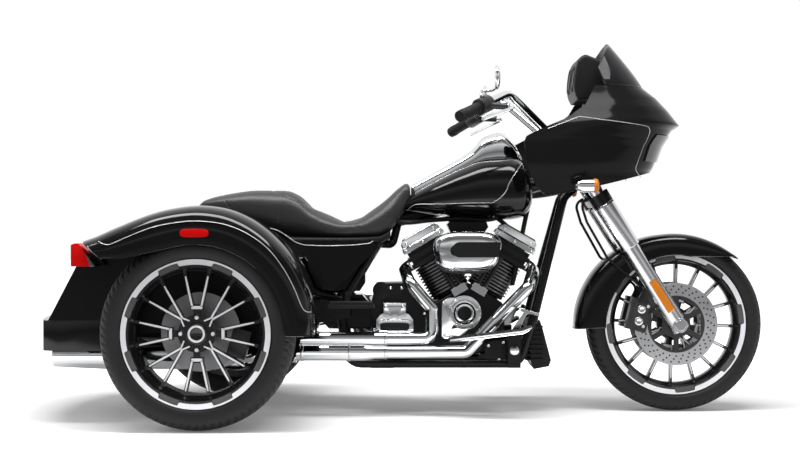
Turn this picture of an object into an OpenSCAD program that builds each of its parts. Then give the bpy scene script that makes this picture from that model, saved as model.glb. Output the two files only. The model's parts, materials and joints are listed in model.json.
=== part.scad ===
// Three-wheeled touring motorcycle: one steered front wheel, two rear wheels on a solid axle housing.
// Frame: +X forward, +Y left, +Z up, origin on the ground at the middle of the vehicle's box.

/* [Stance] */
// Distance between the front and rear axles
wheelbase = 1670; // [1650:5:1690]
// Distance between the middles of the rear tyres
rear_track = 1150; // [1146:1:1158]
// Rear axle to the rearmost face of the bumper
rear_overhang = 606; // [602:1:640]

/* [Tyres and wheels] */
// Outer radius of the front tyre
front_tyre_r = 319; // [315:0.5:320]
// Section width of the front tyre
front_tyre_w = 130; // [120:1:134]
// Height of the front tyre from its bead seat to its tread
front_wall_h = 78; // [76:0.5:82]
// Outer radius of the rear tyres
rear_tyre_r = 321; // [316:0.5:324]
// Section width of the rear tyres
rear_tyre_w = 205; // [195:1:209]
// Height of the rear tyres from their bead seat to their tread
rear_wall_h = 92; // [90:0.5:96]
// Spokes in each wheel, in pairs
spokes = 16; // [16]
// Radius of the front axle
front_axle_r = 12.5; // [10:0.5:14]
// Radius of the rear half shafts
rear_axle_r = 22; // [18:0.5:25]

/* [Steering] */
// Steering head angle from the vertical
rake = 26; // [24:0.5:28]
// Trail of the steering axis on the ground
trail = 99; // [92:1:105]
// Fork leg angle from the vertical
fork_angle = 32; // [31:0.25:33]
// Half the distance between the fork legs
fork_y = 128; // [126:1:132]
// Radius of the fork sliders
slider_r = 31; // [28:0.5:32]
// Radius of the fork tube covers
cover_r = 34; // [32:0.5:36]
// Radius of the fork tubes
fork_tube_r = 24.5; // [22:0.5:26]
// Radius of the handlebar tube
bar_r = 15.9; // [12:0.1:17]
// Radius of the grips
grip_r = 19.5; // [18:0.5:21]
// Radius of the steering stem
stem_r = 14; // [12:0.5:16]

/* [Brakes] */
// Outer radius of the front discs
front_disc_r = 150; // [140:1:155]
// Outer radius of the rear discs
rear_disc_r = 133; // [125:1:138]
// Thickness of the discs
disc_t = 5; // [4:0.5:6]

/* [Engine] */
// Crankshaft ahead of the rear axle
crank_dx = 915; // [910:1:920]
// Crankshaft above the ground
crank_z = 332; // [328:1:336]
// Cylinder angle from the vertical
cyl_angle = 30; // [28.5:0.5:31]
// Radius of the cylinder fins
fin_r = 78; // [70:1:80]
// Fins on each cylinder
fins = 11; // [8:1:12]

/* [Bodywork] */
// Half the width over the rear fenders
fender_half_w = 700; // [696:1:706]
// Half the width of the trunk
trunk_half_w = 430; // [420:1:436]
// Wall of the painted panels
panel_t = 6; // [5:0.5:8]
// Seat bottom above the ground
seat_z = 630; // [626:1:634]

/* [Hidden] */
$fn = 64;

// Clearances: seat between fixed pieces, running fit of a wheel or stem
seat_gap = 0.3;
run_gap = 0.3;

// Bead seat radius of the rims
front_rim_r = front_tyre_r - front_wall_h;
rear_rim_r = rear_tyre_r - rear_wall_h;

// Stations worked out from the driving sizes
overall_len = rear_overhang + wheelbase + front_tyre_r;
front_x = overall_len / 2 - front_tyre_r;
rear_x = front_x - wheelbase;
crank_x = rear_x + crank_dx;
wheel_y = rear_track / 2;
steer_foot_x = front_x + trail;
steer_up = [-sin(rake), 0, cos(rake)];
fork_up = [-sin(fork_angle), 0, cos(fork_angle)];

// Height of the lower and upper fork clamps, and of the ends of the head tube between them
clamp_low_z = 772;
clamp_top_z = 946;
clamp_t = 26;
head_low_z = yoke_z(clamp_low_z) + 21.5;
head_top_z = yoke_z(clamp_top_z) - 37;

black = [0.03, 0.03, 0.032];
satin = [0.09, 0.09, 0.095];
chrome = [0.82, 0.83, 0.85];
steel = [0.62, 0.62, 0.62];

// Point on the steering axis at height z
function steer_at(z) = [steer_foot_x - z * tan(rake), 0, z];
// Point on the fork plane at height z
function fork_at(z, y) = [front_x - (z - front_tyre_r) * tan(fork_angle), y, z];
// Height at which the yoke whose tubes are at height z meets the stem
function stem_reach(z) = (steer_at(z)[0] - fork_at(z, 0)[0]) * cos(fork_angle);
function yoke_z(z) = z + stem_reach(z) * sin(fork_angle);
function unit(v) = v / norm(v);
function flat(l) = [for (a = l) each a];
function lerp(a, b, t) = a + (b - a) * t;
function spow(v, e) = sign(v) * pow(abs(v), e);

// Value at x on a table of [x, value] rows, straight between rows
function look(table, x, i = 0) =
  x <= table[0][0] ? table[0][1] :
  i >= len(table) - 1 ? table[len(table) - 1][1] :
  x <= table[i + 1][0]
    ? lerp(table[i][1], table[i + 1][1], (x - table[i][0]) / (table[i + 1][0] - table[i][0]))
    : look(table, x, i + 1);

// Rounds the corner at b between a and c with an arc of radius r
function corner(a, b, c, r, n) =
  let (u = unit(a - b), w = unit(c - b), half = acos(u * w) / 2, d = r / tan(half))
  let (m = b + unit(u + w) * (r / sin(half)), p = b + u * d - m, q = b + w * d - m, turn = 180 - 2 * half)
  [for (i = [0:n]) m + (p * sin((1 - i / n) * turn) + q * sin(i / n * turn)) / sin(turn)];
function rounded(pts, r, n = 5) = concat([pts[0]],
  [for (i = [1:len(pts) - 2]) each corner(pts[i - 1], pts[i], pts[i + 1], r, n)], [pts[len(pts) - 1]]);

// Rings of k points round a path, carried along without twist
function tangents(p) = [for (i = [0:len(p) - 1]) unit(
  i == 0 ? p[1] - p[0] : i == len(p) - 1 ? p[i] - p[i - 1] : unit(p[i + 1] - p[i]) + unit(p[i] - p[i - 1]))];
function carried(t, n, i = 0) =
  i >= len(t) ? [] : let (m = unit(n - (n * t[i]) * t[i])) concat([m], carried(t, m, i + 1));
function tube_rings(p, r, k) = let (t = tangents(p), u = carried(t, [0.13, 0.21, 0.97]))
  [for (i = [0:len(p) - 1]) [for (j = [0:k - 1])
    p[i] + r * (cos(360 * j / k) * u[i] + sin(360 * j / k) * cross(t[i], u[i]))]];

// Closed skin over rings of equal length, with a flat fan at each end
module skin(rings) {
  n = len(rings[0]);
  m = len(rings);
  first = m * n;
  centres = [for (k = [0, m - 1]) let (ring = rings[k]) [for (c = [0:2])
    [for (p = ring) p[c]] * [for (p = ring) 1] / n]];
  polyhedron(points = concat(flat(rings), centres), convexity = 6, faces = concat(
    [for (i = [0:m - 2]) for (j = [0:n - 1])
      let (a = i * n + j, b = i * n + (j + 1) % n, c = a + n, d = b + n) each [[a, d, b], [a, c, d]]],
    [for (j = [0:n - 1]) [first, j, (j + 1) % n]],
    [for (j = [0:n - 1]) [first + 1, (m - 1) * n + (j + 1) % n, (m - 1) * n + j]]));
}
module tube(p, r, k = 12) skin(tube_rings(p, r, k));

// Sheet of metal between an outer and an inner grid of the same size
module sheet(outer, inner) {
  m = len(outer);
  n = len(outer[0]);
  o = m * n;
  edge = concat([for (j = [0:n - 2]) [j, j + 1]], [for (i = [0:m - 2]) [i * n + n - 1, (i + 1) * n + n - 1]],
    [for (j = [n - 1:-1:1]) [(m - 1) * n + j, (m - 1) * n + j - 1]], [for (i = [m - 1:-1:1]) [i * n, (i - 1) * n]]);
  polyhedron(points = concat(flat(outer), flat(inner)), convexity = 8, faces = concat(
    [for (i = [0:m - 2]) for (j = [0:n - 2])
      let (a = i * n + j, b = a + 1, c = a + n, d = b + n) each [[a, b, d], [a, d, c]]],
    [for (i = [0:m - 2]) for (j = [0:n - 2])
      let (a = o + i * n + j, b = a + 1, c = a + n, d = b + n) each [[a, d, b], [a, c, d]]],
    [for (e = edge) each [[e[0], o + e[0], o + e[1]], [e[0], o + e[1], e[1]]]]));
}

// Cylinder along Y from y to y + h at a point of the side view
module bar_y(x, z, r, y, h) translate([x, y, z]) rotate([-90, 0, 0]) cylinder(h = h, r = r);
// Cylinder from a to b
module rod(a, b, r) {
  d = b - a;
  translate(a) rotate([0, acos(d[2] / norm(d)), atan2(d[1], d[0])]) cylinder(h = norm(d), r = r);
}
// Outline in the side view, as wide as w and centred on y
module side_slab(points, y, w) translate([0, y + w / 2, 0]) rotate([90, 0, 0]) linear_extrude(w) polygon(points);
// Outline in the top view between two heights
module flat_slab(points, z, h) translate([0, 0, z]) linear_extrude(h) polygon(points);
module box(lo, hi) translate(lo) cube(hi - lo);
module both_sides() {
  children();
  mirror([0, 1, 0]) children();
}
module at_rear_axle() translate([rear_x, 0, rear_tyre_r]) children();
module at_front_axle() translate([front_x, 0, front_tyre_r]) children();
module on_fork(y, s) translate(fork_at(front_tyre_r, y)) rotate([0, -fork_angle, 0]) translate([0, 0, s]) children();
module on_head(z) translate(steer_at(z)) rotate([0, -rake, 0]) children();

// Frame tubes

rail_y = 130;
rail_r = 17;
rail_z = 182;
backbone_r = 28;
seat_rail_y = 105;
seat_rail_r = 15;
seat_rail_z = seat_z - seat_rail_r - seat_gap;
pivot_x = rear_x + 455;
pivot_z = 372;
trunk_front_x = rear_x - 70;
floor_rail_r = 14;
floor_rail_z = 352 - floor_rail_r - seat_gap;

// Middle of the backbone at x, and the line of its top
backbone_rise = 0.25;
function backbone_z(x) = 692 + (x - rear_x - 620) * backbone_rise;

module frame_tubes() {
  neck = steer_at(846)[0];
  spine = steer_at(884)[0];
  back = rear_x + 660;
  tube([[spine, 0, backbone_z(spine)], [back, 0, backbone_z(back)]], backbone_r, 16);
  both_sides() {
    // Down tube, lower rail and rear leg in one bend
    tube(rounded([[neck - 8, 10, 852], [neck - 95, 50, 780], [rear_x + 1144, rail_y, 337], [rear_x + 1096, rail_y, rail_z],
      [rear_x + 480, rail_y, rail_z], [pivot_x - 12, rail_y, pivot_z + 40]], 55), rail_r, 14);
    // Seat rail from the backbone back to the trunk
    tube(rounded([[back + 2, 10, backbone_z(back)], [back - 22, 28, 608], [rear_x + 545, seat_rail_y, seat_rail_z],
      [trunk_front_x + seat_gap, seat_rail_y, seat_rail_z]], 24), seat_rail_r, 12);
    // Leg from the seat rail down to the pivot
    tube([[rear_x + 590, seat_rail_y + 6, seat_rail_z + 4], [pivot_x, rail_y, pivot_z + 20]], 16, 12);
    // Rail that carries the trunk floor
    tube(rounded([[pivot_x, rail_y, pivot_z + 40], [rear_x + 250, 168, 470], [rear_x - 110, 195, floor_rail_z],
      [rear_x - 420 + seat_gap, 195, floor_rail_z]], 70), floor_rail_r, 12);
    // Gussets at the head, pivot and engine mounts
    hull() {
      translate([neck - 34, 14, 842]) sphere(16, $fn = 12);
      translate([neck - 150, 14, backbone_z(neck - 150)]) sphere(12, $fn = 12);
    }
    hull() for (dz = [0, 56]) translate([pivot_x, rail_y - 8, pivot_z + dz]) sphere(23 - dz / 9, $fn = 12);
    hull() for (dx = [960, 1010]) translate([rear_x + dx, rail_y - 6, rail_z + 4]) sphere(14, $fn = 12);
    hull() for (dx = [700, 760]) translate([rear_x + dx, rail_y - 6, rail_z + 4]) sphere(14, $fn = 12);
  }
  // Front mount plates between the lower rails and the down tubes
  both_sides() side_slab([[rear_x + 970, rail_z], [rear_x + 970, rail_z + 68], [rear_x + 992, rail_z + 80],
    [rear_x + 1102, rail_z + 94], [rear_x + 1112, rail_z + 60], [rear_x + 1100, rail_z]], rail_y, 12);
  // Cross members: lift plate, two engine mounts, pivot tube, rear body cross tube
  box([rear_x + 560, -rail_y, rail_z - rail_r - 1], [rear_x + 640, rail_y, rail_z - 4]);
  box([rear_x + 955, -rail_y, rail_z - 8], [rear_x + 1015, rail_y, engine_foot_z - seat_gap]);
  box([rear_x + 700, -rail_y, rail_z - 8], [rear_x + 760, rail_y, engine_foot_z - seat_gap]);
  // Top engine mount on the backbone, with the coil between the heads
  box([crank_x - 70, -28, 664], [crank_x + 66, 28, backbone_z(crank_x - 70)]);
  side_slab([[crank_x - 78, 682], [crank_x - 66, 654], [crank_x + 56, 650], [crank_x + 72, 672], [crank_x + 66, 690],
    [crank_x - 66, 692]], 0, 136);
  bar_y(pivot_x, pivot_z, 22, -rail_y, 2 * rail_y);
  bar_y(rear_x - 380, floor_rail_z, 12, -195, 390);
}
module frame() color(black) difference() {
  frame_tubes();
  on_head(head_low_z - 60) cylinder(h = 300, r = head_r + seat_gap);
}

head_r = 34;
module steering_head() color(black) difference() {
  on_head(head_low_z) cylinder(h = (head_top_z - head_low_z) / cos(rake), r = head_r);
  on_head(head_low_z - 5) cylinder(h = (head_top_z - head_low_z) / cos(rake) + 20, r = stem_r + run_gap);
}

// Engine

engine_foot_z = 216;
case_half_w = 108;
case_back = 150;
deck_s = 118;
barrel_s = 258;
head_s = 322;
rocker_s = 380;
head_half_w = 80;
head_half_y = 96;

// Cylinder axis frame: s along the axis, side is -1 for the rear cylinder and 1 for the front one
module on_cylinder(side, s) translate([crank_x, 0, crank_z]) rotate([0, side * cyl_angle, 0]) translate([0, 0, s]) children();
function cyl_point(side, s, across) = [crank_x + side * (s * sin(cyl_angle)) + across * cos(cyl_angle),
  crank_z + s * cos(cyl_angle) - side * across * sin(cyl_angle)];

module crankcase() color(satin) {
  lip = 70;
  side_slab([cyl_point(-1, deck_s, -lip), [crank_x, crank_z + deck_s / cos(cyl_angle)], cyl_point(1, deck_s, lip),
    [crank_x + 128, crank_z + 36], [crank_x + 128, engine_foot_z + 50], [crank_x + 88, engine_foot_z],
    [crank_x - 135, engine_foot_z], [crank_x - case_back, engine_foot_z + 25], [crank_x - case_back, crank_z + 80]],
    0, 2 * case_half_w);
}

// Barrel, fins and head of one cylinder
module cylinder_stack() {
  cylinder(h = head_s - deck_s - seat_gap, r = 58);
  pitch = (barrel_s - deck_s - 6) / fins;
  for (i = [0:fins - 1]) translate([0, 0, 6 + i * pitch]) cylinder(h = pitch * 0.5, r = fin_r - 6 * (i == 0 ? 1 : 0));
  for (i = [0:3]) translate([0, 0, barrel_s - deck_s + i * 15 + 8])
    cube([2 * head_half_w - (i % 2) * 16, 2 * head_half_y - (i % 2) * 16, 16], center = true);
}
// The fins are cut back where the two cylinders meet in the V
module cylinders() color(black) for (side = [-1, 1]) difference() {
  on_cylinder(side, deck_s + seat_gap) cylinder_stack();
  translate([crank_x - side * (200 - 1), 0, crank_z + 200]) cube([400, 400, 800], center = true);
}

module rocker_covers() color(chrome) for (side = [-1, 1]) on_cylinder(side, head_s + 2 * seat_gap) {
  difference() {
    union() {
      translate([-head_half_w - 3, -head_half_y - 3, 0]) cube([2 * head_half_w + 6, 2 * head_half_y + 6, 18]);
      rotate([90, 0, 0]) linear_extrude(2 * head_half_y - 4, center = true) polygon([[-head_half_w + 2, 18],
        [-head_half_w + 2, 34], [-head_half_w + 18, rocker_s - head_s - 6], [head_half_w - 18, rocker_s - head_s - 6],
        [head_half_w - 2, 34], [head_half_w - 2, 18]]);
    }
    for (y = [-1, 1]) translate([0, y * (head_half_y + 2), 38]) rotate([90, 0, 0]) cylinder(h = 8, r = 12, center = true);
  }
}

// Tappet blocks on the cam side of the case, and the pushrod tubes from them to the heads
tappet_y = -122;
tappet_s = deck_s + 14;
function tube_across(side, k) = -side * (14 + 26 * k);
module pushrods() color(satin) for (side = [-1, 1]) {
  on_cylinder(side, 0) translate([-side * 27 - 28, -case_half_w - seat_gap - 28, deck_s - 14]) cube([56, 28, tappet_s - deck_s + 14]);
  for (k = [0, 1]) {
    foot = cyl_point(side, tappet_s - 4, tube_across(side, k));
    top = cyl_point(side, barrel_s - 2, tube_across(side, k));
    rod([foot[0], tappet_y, foot[1]], [top[0], -head_half_y + 3, top[1]], 8.5);
  }
}

cam_x = crank_x - 19;
cam_z = crank_z + 32;
cam_y = -case_half_w - seat_gap;
module cam_cover() color(chrome) translate([cam_x, cam_y, cam_z]) rotate([90, 0, 0]) {
  // Base over the cams and the gears behind them, then the round cover
  linear_extrude(34) polygon(concat([for (a = [-75:15:120]) 62 * [cos(a), sin(a)]],
    [[-54, 54], [-76, 42], [-80, 34], [-80, -84], [-74, -92], [-54, -96], [-8, -83]]));
  cylinder(h = 62, r = 58);
  difference() {
    cylinder(h = 76, r1 = 56, r2 = 53);
    translate([0, 0, 70]) cylinder(h = 10, r = 40);
  }
  translate([0, 0, 69]) cylinder(h = 5, r = 33);
}
// Air cleaner: side outline as a rounded teardrop, wide towards the rear
cleaner_x = crank_x - 11;
cleaner_z = crank_z + 254;
cleaner_y = -head_half_y - 22;
cleaner_d = 168;
function cleaner_outline(grow) = [for (a = [0:10:350]) [
  (120 + grow) * spow(cos(a), 0.62) + (sin(a) > 0 ? 14 * sin(a) * cos(a) : -6 * cos(a)),
  (71 + grow) * spow(sin(a), 0.72) + (cos(a) < 0 ? -8 * cos(a) * cos(a) : 0)]];
module cleaner_at(y) translate([cleaner_x, y, cleaner_z]) rotate([90, 0, 0]) children();
module air_cleaner() color(chrome) difference() {
  union() {
    // Breather bolts to the heads
    for (side = [-1, 1]) {
      p = cyl_point(side, barrel_s + 16, -side * 50);
      bar_y(p[0], p[1], 13, cleaner_y - 12, -head_half_y - seat_gap - cleaner_y + 12);
    }
    cleaner_shell();
  }
  insert_block(0.3);
}
module cleaner_shell() cleaner_at(cleaner_y) {
  translate([0, -20, 5]) linear_extrude(57.01) polygon(cleaner_outline(-10));
  translate([0, 0, 62]) linear_extrude(44) polygon(cleaner_outline(0));
  for (i = [0:3]) translate([0, 0, 106 + i * 9]) linear_extrude(9.01) polygon(cleaner_outline(-1 - 1.6 * i * i));
}
insert_y = cleaner_y - 135;
module insert_block(grow) translate([cleaner_x + 24, insert_y + 14, cleaner_z + 6]) rotate([90, 0, 0])
  linear_extrude(40 + grow) polygon([for (a = [90:15:270]) (27 + grow) * [cos(a), sin(a)] + [-52, 0],
    [84 + grow, -27 - grow], [92 + grow, 27 + grow]]);
module air_cleaner_insert() color(satin) intersection() {
  insert_block(0);
  translate([0, insert_y - 9, 0]) cube([4000, 46, 4000], center = true);
}

// Gearbox behind the crankcase
box_front_x = crank_x - case_back - seat_gap;
module gearbox() color(satin) {
  side_slab([[box_front_x, engine_foot_z], [box_front_x, crank_z + 70], [box_front_x - 40, crank_z + 110],
    [box_front_x - 64, crank_z + 138],
    [box_front_x - 186, crank_z + 136], [box_front_x - 206, crank_z + 60], [box_front_x - 196, engine_foot_z + 20],
    [box_front_x - 170, engine_foot_z]], 0, 2 * case_half_w - 12);
  bar_y(box_front_x - 168, crank_z + 112, 30, -118, 30);
}
gear_side_y = -case_half_w + 6 - seat_gap;
gear_cover_x = box_front_x - 118;
gear_cover_z = crank_z + 6;
module gearbox_cover() color(chrome) translate([gear_cover_x, gear_side_y, gear_cover_z]) rotate([90, 0, 0]) {
  linear_extrude(58) polygon([[-66, -46], [-66, 2], [-52, 20], [-40, 26], [-40, 62], [40, 62], [40, 26], [52, 20], [66, 2], [66, -46]]);
  translate([0, -20, 58]) linear_extrude(42) polygon([for (a = [0:15:345]) [62 * spow(cos(a), 0.4), 24 * spow(sin(a), 0.5)]]);
  for (x = [-52, 52]) translate([x * 0.6, 48, 58]) cylinder(h = 6, r = 9);
}

// Primary drive cover on the left: two round ends and straight sides
primary_y = case_half_w + seat_gap;
module primary_cover() color(chrome) translate([crank_x - 25, primary_y, crank_z - 18]) rotate([-90, 0, 0]) {
  back = -300;
  outline = concat([for (a = [-90:15:90]) 84 * [cos(a), sin(a)]], [for (a = [90:15:270]) 104 * [cos(a), sin(a)] + [back, 0]]);
  linear_extrude(66) polygon(outline);
  translate([0, 0, 66]) linear_extrude(16) polygon(outline * 0.93);
  translate([back, 0, 82]) cylinder(h = 8, r = 74);
  translate([0, 0, 82]) cylinder(h = 6, r = 52);
}

// Exhaust
pipe_r = 23;
pipe_top_z = 277;
pipe_low_z = 230;
collector_front_x = rear_x + 620;
collector_back_x = rear_x + 300;
collector_y = -228;
module exhaust_headers() color(chrome) {
  port_s = head_s - 42;
  out = 32;
  rear_port = cyl_point(-1, port_s, -head_half_w - seat_gap);
  rear_turn = cyl_point(-1, port_s, -head_half_w - out);
  front_port = cyl_point(1, port_s, head_half_w + seat_gap);
  front_turn = cyl_point(1, port_s, head_half_w + out);
  tube(rounded([[rear_port[0], -62, rear_port[1]], [rear_turn[0], -62, rear_turn[1]],
    [rear_turn[0] + 22, -198, rear_turn[1] - 44], [crank_x - 137, -206, crank_z + 50],
    [crank_x - 137, -214, pipe_top_z], [collector_front_x + 70, collector_y, pipe_top_z],
    [collector_front_x + seat_gap, collector_y, pipe_top_z]], 29, 6), pipe_r, 14);
  tube(rounded([[front_port[0], -62, front_port[1]], [front_turn[0], -62, front_turn[1]],
    [front_turn[0] - 30, -194, front_turn[1] - 60], [crank_x + 91, -214, crank_z + 10],
    [crank_x - 14, -218, pipe_low_z], [collector_front_x + 70, collector_y, pipe_low_z],
    [collector_front_x + seat_gap, collector_y, pipe_low_z]], 29, 6), pipe_r, 14);
}
muffler_y = 300;
// Mufflers below the axle line
muffler_drop = 95;
muffler_z = rear_tyre_r - muffler_drop;
muffler_r = 50;
muffler_front_x = rear_x + 120;
module collector() color(chrome) {
  // Two shields, one over the other; the lower swells behind its joint
  len = collector_front_x - collector_back_x;
  translate([collector_front_x, collector_y, pipe_top_z]) rotate([0, -90, 0]) cylinder(h = len, r = pipe_r + 2);
  translate([collector_front_x, collector_y, pipe_low_z]) rotate([0, -90, 0]) rotate_extrude()
    polygon([[0, 0], [pipe_r + 2, 0], [pipe_r + 2, 44], [pipe_r + 8, 84], [pipe_r + 8, len], [0, len]]);
}
module mufflers() color(chrome) {
  for (side = [-1, 1]) translate([muffler_front_x, side * muffler_y, muffler_z]) rotate([0, -90, 0]) rotate_extrude()
    polygon([[0, 0], [28, 0], [30, 30], [muffler_r, 90], [muffler_r, 480], [muffler_r - 8, 660], [muffler_r - 12, 660],
      [muffler_r - 14, 560], [0, 560]]);
  tube(rounded([[collector_back_x - seat_gap, collector_y, pipe_top_z - 20], [collector_back_x - 60, collector_y, pipe_top_z - 20],
    [muffler_front_x + 40, -muffler_y, muffler_z], [muffler_front_x + seat_gap, -muffler_y, muffler_z]], 60), 27, 14);
  // Crossover to the left side, under the gearbox
  tube(rounded([[collector_back_x - seat_gap, collector_y, pipe_low_z - 16], [collector_back_x - 56, collector_y, pipe_low_z - 16],
    [collector_back_x - 96, -150, 188], [collector_back_x - 96, 150, 188],
    [muffler_front_x + 60, muffler_y, muffler_z], [muffler_front_x + seat_gap, muffler_y, muffler_z]], 30), 22, 12);
}

// Fuel tank: rows of [x ahead of the rear axle, half width, bottom, top]
tank_rows = [
  [658, 62, 731, 757], [722, 100, 722, 802], [802, 135, 714, 848], [892, 158, 706, 893], [982, 170, 699, 926],
  [1062, 172, 698, 931], [1107, 160, 703, 915], [1132, 135, 722, 882], [1144, 100, 745, 850]];
// Console: the same columns
console_rows = [
  [706, 26, 770, 824], [772, 40, 800, 862], [852, 52, 840, 906], [927, 62, 880, 952], [977, 72, 890, 1003],
  [1037, 74, 895, 1018], [1067, 70, 890, 996], [1092, 62, 880, 965], [1114, 50, 860, 930]];
// Rounded cross section of a body: e is 1 for an ellipse and falls towards 0 for a box
function oval(x, w, lo, hi, e, k = 20) = [for (j = [0:k - 1]) let (a = 360 * j / k)
  [x, w * spow(cos(a), e), (lo + hi) / 2 + (hi - lo) / 2 * spow(sin(a), e)]];
module slice(row, e, grow) translate([rear_x + row[0], 0, 0]) rotate([90, 0, 90]) linear_extrude(0.01)
  polygon([for (p = oval(0, row[1] + grow, row[2] - grow, row[3] + grow, e)) [p[1], p[2]]]);
module body_loft(rows, e, grow = 0) for (i = [0:len(rows) - 2]) hull() {
  slice(rows[i], e, grow);
  slice(rows[i + 1], e, grow);
}
// Room over the backbone from x0 to x1
module backbone_tunnel(x0, x1, w) {
  top = backbone_r * norm([1, backbone_rise]) + 2 * seat_gap;
  side_slab([[x0, 500], [x0, backbone_z(x0) + top], [x1, backbone_z(x1) + top], [x1, 500]], 0, w);
}
module fuel_tank() color(black) difference() {
  body_loft(tank_rows, 0.72);
  backbone_tunnel(rear_x + 500, rear_x + 1300, 2 * backbone_r + 10);
}
module tank_console() color(chrome) difference() {
  body_loft(console_rows, 0.62);
  body_loft(tank_rows, 0.72, seat_gap);
}

// Seat: rows of [x ahead of the rear axle, half width, bottom above the rails, top above the rails]
seat_rows = [
  [-64, 105, 108, 128], [-44, 128, 98, 146], [50, 150, 66, 170], [150, 156, 34, 182], [250, 158, 6, 181],
  [292, 159, 0, 166], [342, 164, 0, 122], [402, 171, 0, 86], [462, 173, 0, 69], [522, 164, 0, 77],
  [582, 146, 4, 112], [632, 118, 30, 152], [662, 98, 70, 182], [694, 84, 118, 208], [704, 78, 148, 196]];
module seat() color(satin) difference() {
  body_loft([for (r = seat_rows) [r[0], r[1], seat_z + r[2], seat_z + r[3]]], 0.6);
  body_loft(tank_rows, 0.72, seat_gap);
  body_loft(console_rows, 0.62, 2);
  backbone_tunnel(rear_x + 625, rear_x + 800, 84);
}

// Side covers under the seat, cut to the curve of the rear fenders, and the boxes between the rails behind them
cover_in_y = rail_y + 26 + seat_gap;
module inner_boxes() {
  // The rails are twelve-sided, so their flats lie a little inside their radius
  half = seat_rail_y - seat_rail_r + 0.5;
  back = box_front_x - 206 - seat_gap;
  // Battery box between the seat rails
  side_slab([[rear_x + 330, 452], [rear_x + 350, 440], [rear_x + 520, 440], [rear_x + 540, 470], [rear_x + 540, 608],
    [rear_x + 330, 608]], 0, 2 * half);
  // Fuse box behind the gearbox, right of the belt
  difference() {
    side_slab([[back, crank_z + 60], [back + 4, crank_z - 28], [back - 150, crank_z - 28], [back - 196, crank_z + 20],
      [back - 196, crank_z + 96], [back - 30, crank_z + 96]], -26, 140);
    bar_y(pivot_x, pivot_z, 22 + seat_gap, -200, 400);
  }
}
module side_covers() color(black) {
  inner_boxes();
  outer_covers();
}
module outer_covers() both_sides() {
  difference() {
    side_slab([[rear_x + 250, seat_z - 4], [rear_x + 560, seat_z - 4], [rear_x + 590, seat_z - 30], [rear_x + 430, 448],
      [rear_x + 250, 448]], cover_in_y + 12, 24);
    bar_y(rear_x, rear_tyre_r, fender_crown_r + 8, 0, 400);
  }
  // Pegs to the seat rail
  for (dx = [410, 520]) bar_y(rear_x + dx, seat_rail_z, 7, seat_rail_y + seat_rail_r + seat_gap, cover_in_y + 2 - seat_rail_y - seat_rail_r);
}

// Rear fenders: rows of [angle about the axle from straight ahead, crown radius, lip radius]
fender_crown_r = 400;
fender_rows = [
  [-1, 390, 296], [8, 394, 294], [18, 398, 292], [28, 401, 292], [38, 404, 292], [48, 407, 292], [58, 413, 292],
  [68, 418, 292], [78, 421, 292], [88, 421, 292], [97, 420, 292], [99.6, 420, 292], [108, 422, 293], [116, 426, 300],
  [123, 433, 312], [130, 446, 330], [136, 462, 355], [141, 484, 390]];
// Across the fender: [y, share of the way from the lip to the crown]; the first two follow the inner edge
fender_side_y = fender_half_w - 2;
fender_seat_y = 172;
function fender_in_y(a) = a > 99 ? trunk_half_w + 0.5 : fender_seat_y;
function fender_across(a) = let (y0 = fender_in_y(a)) [[y0, 0.84], [lerp(y0, 560, 0.4), 0.95], [lerp(y0, 560, 0.75), 0.995],
  [575, 1], [620, 0.97], [654, 0.90], [678, 0.78], [692, 0.60], [fender_side_y, 0.38], [fender_side_y, 0.18], [fender_side_y - 2, 0]];
function fender_point(row, c, t) = let (r = row[2] + (row[1] - row[2]) * c[1])
  let (side = max(0, min(1, (c[0] - 600) / 90)), y = c[0] - t * side, q = r - t * (1 - side))
  [rear_x + q * cos(row[0]), y, rear_tyre_r + q * sin(row[0])];
module fender_left() sheet([for (row = fender_rows) [for (c = fender_across(row[0])) fender_point(row, c, 0)]],
  [for (row = fender_rows) [for (c = fender_across(row[0])) fender_point(row, c, panel_t)]]);
module fender_rear_left() color(black) fender_left();
module fender_rear_right() color(black) mirror([0, 1, 0]) fender_left();

// Trunk: side outline behind the axle, hollow, with a lid on the sloping deck
deck_front = [trunk_front_x, 708];
deck_back = [rear_x - 398, 598];
trunk_floor_z = 352;
trunk_wall = 8;
well_gap = 12;
function trunk_outline(w) = [[deck_front[0] - w, 620], [deck_front[0] - w, deck_front[1] - w], [deck_back[0] + w * 0.6, deck_back[1] - w],
  [rear_x - 436 + w, 540], [rear_x - 534 + w * 1.2, trunk_floor_z + w], [rear_x - 146 - w * 0.6, trunk_floor_z + w],
  [rear_x - 132 - w, 446]];
deck_slope = atan((deck_front[1] - deck_back[1]) / (deck_front[0] - deck_back[0]));
module on_deck() translate([deck_front[0], 0, deck_front[1]]) rotate([0, -deck_slope, 0]) children();
lid_front = -26;
lid_back = -334;
lid_half_w = 372;
lid_t = 14;
module trunk() color(black) difference() {
  side_slab(trunk_outline(0), 0, 2 * trunk_half_w);
  side_slab(trunk_outline(trunk_wall), 0, 2 * (trunk_half_w - trunk_wall));
  on_deck() box([lid_back + 26, -lid_half_w + 26, -60], [lid_front - 22, lid_half_w - 26, 40]);
  // Room for the tyres
  both_sides() bar_y(rear_x, rear_tyre_r, rear_tyre_r + well_gap, wheel_y - rear_tyre_w / 2 - well_gap, fender_half_w);
}
module trunk_lid() color(black) on_deck() {
  translate([0, 0, seat_gap]) linear_extrude(lid_t) polygon([[lid_front, -lid_half_w + 16], [lid_front, lid_half_w - 16],
    [lid_front - 16, lid_half_w], [lid_back + 30, lid_half_w], [lid_back, lid_half_w - 30], [lid_back, -lid_half_w + 30],
    [lid_back + 30, -lid_half_w], [lid_front - 16, -lid_half_w]]);
}

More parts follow.
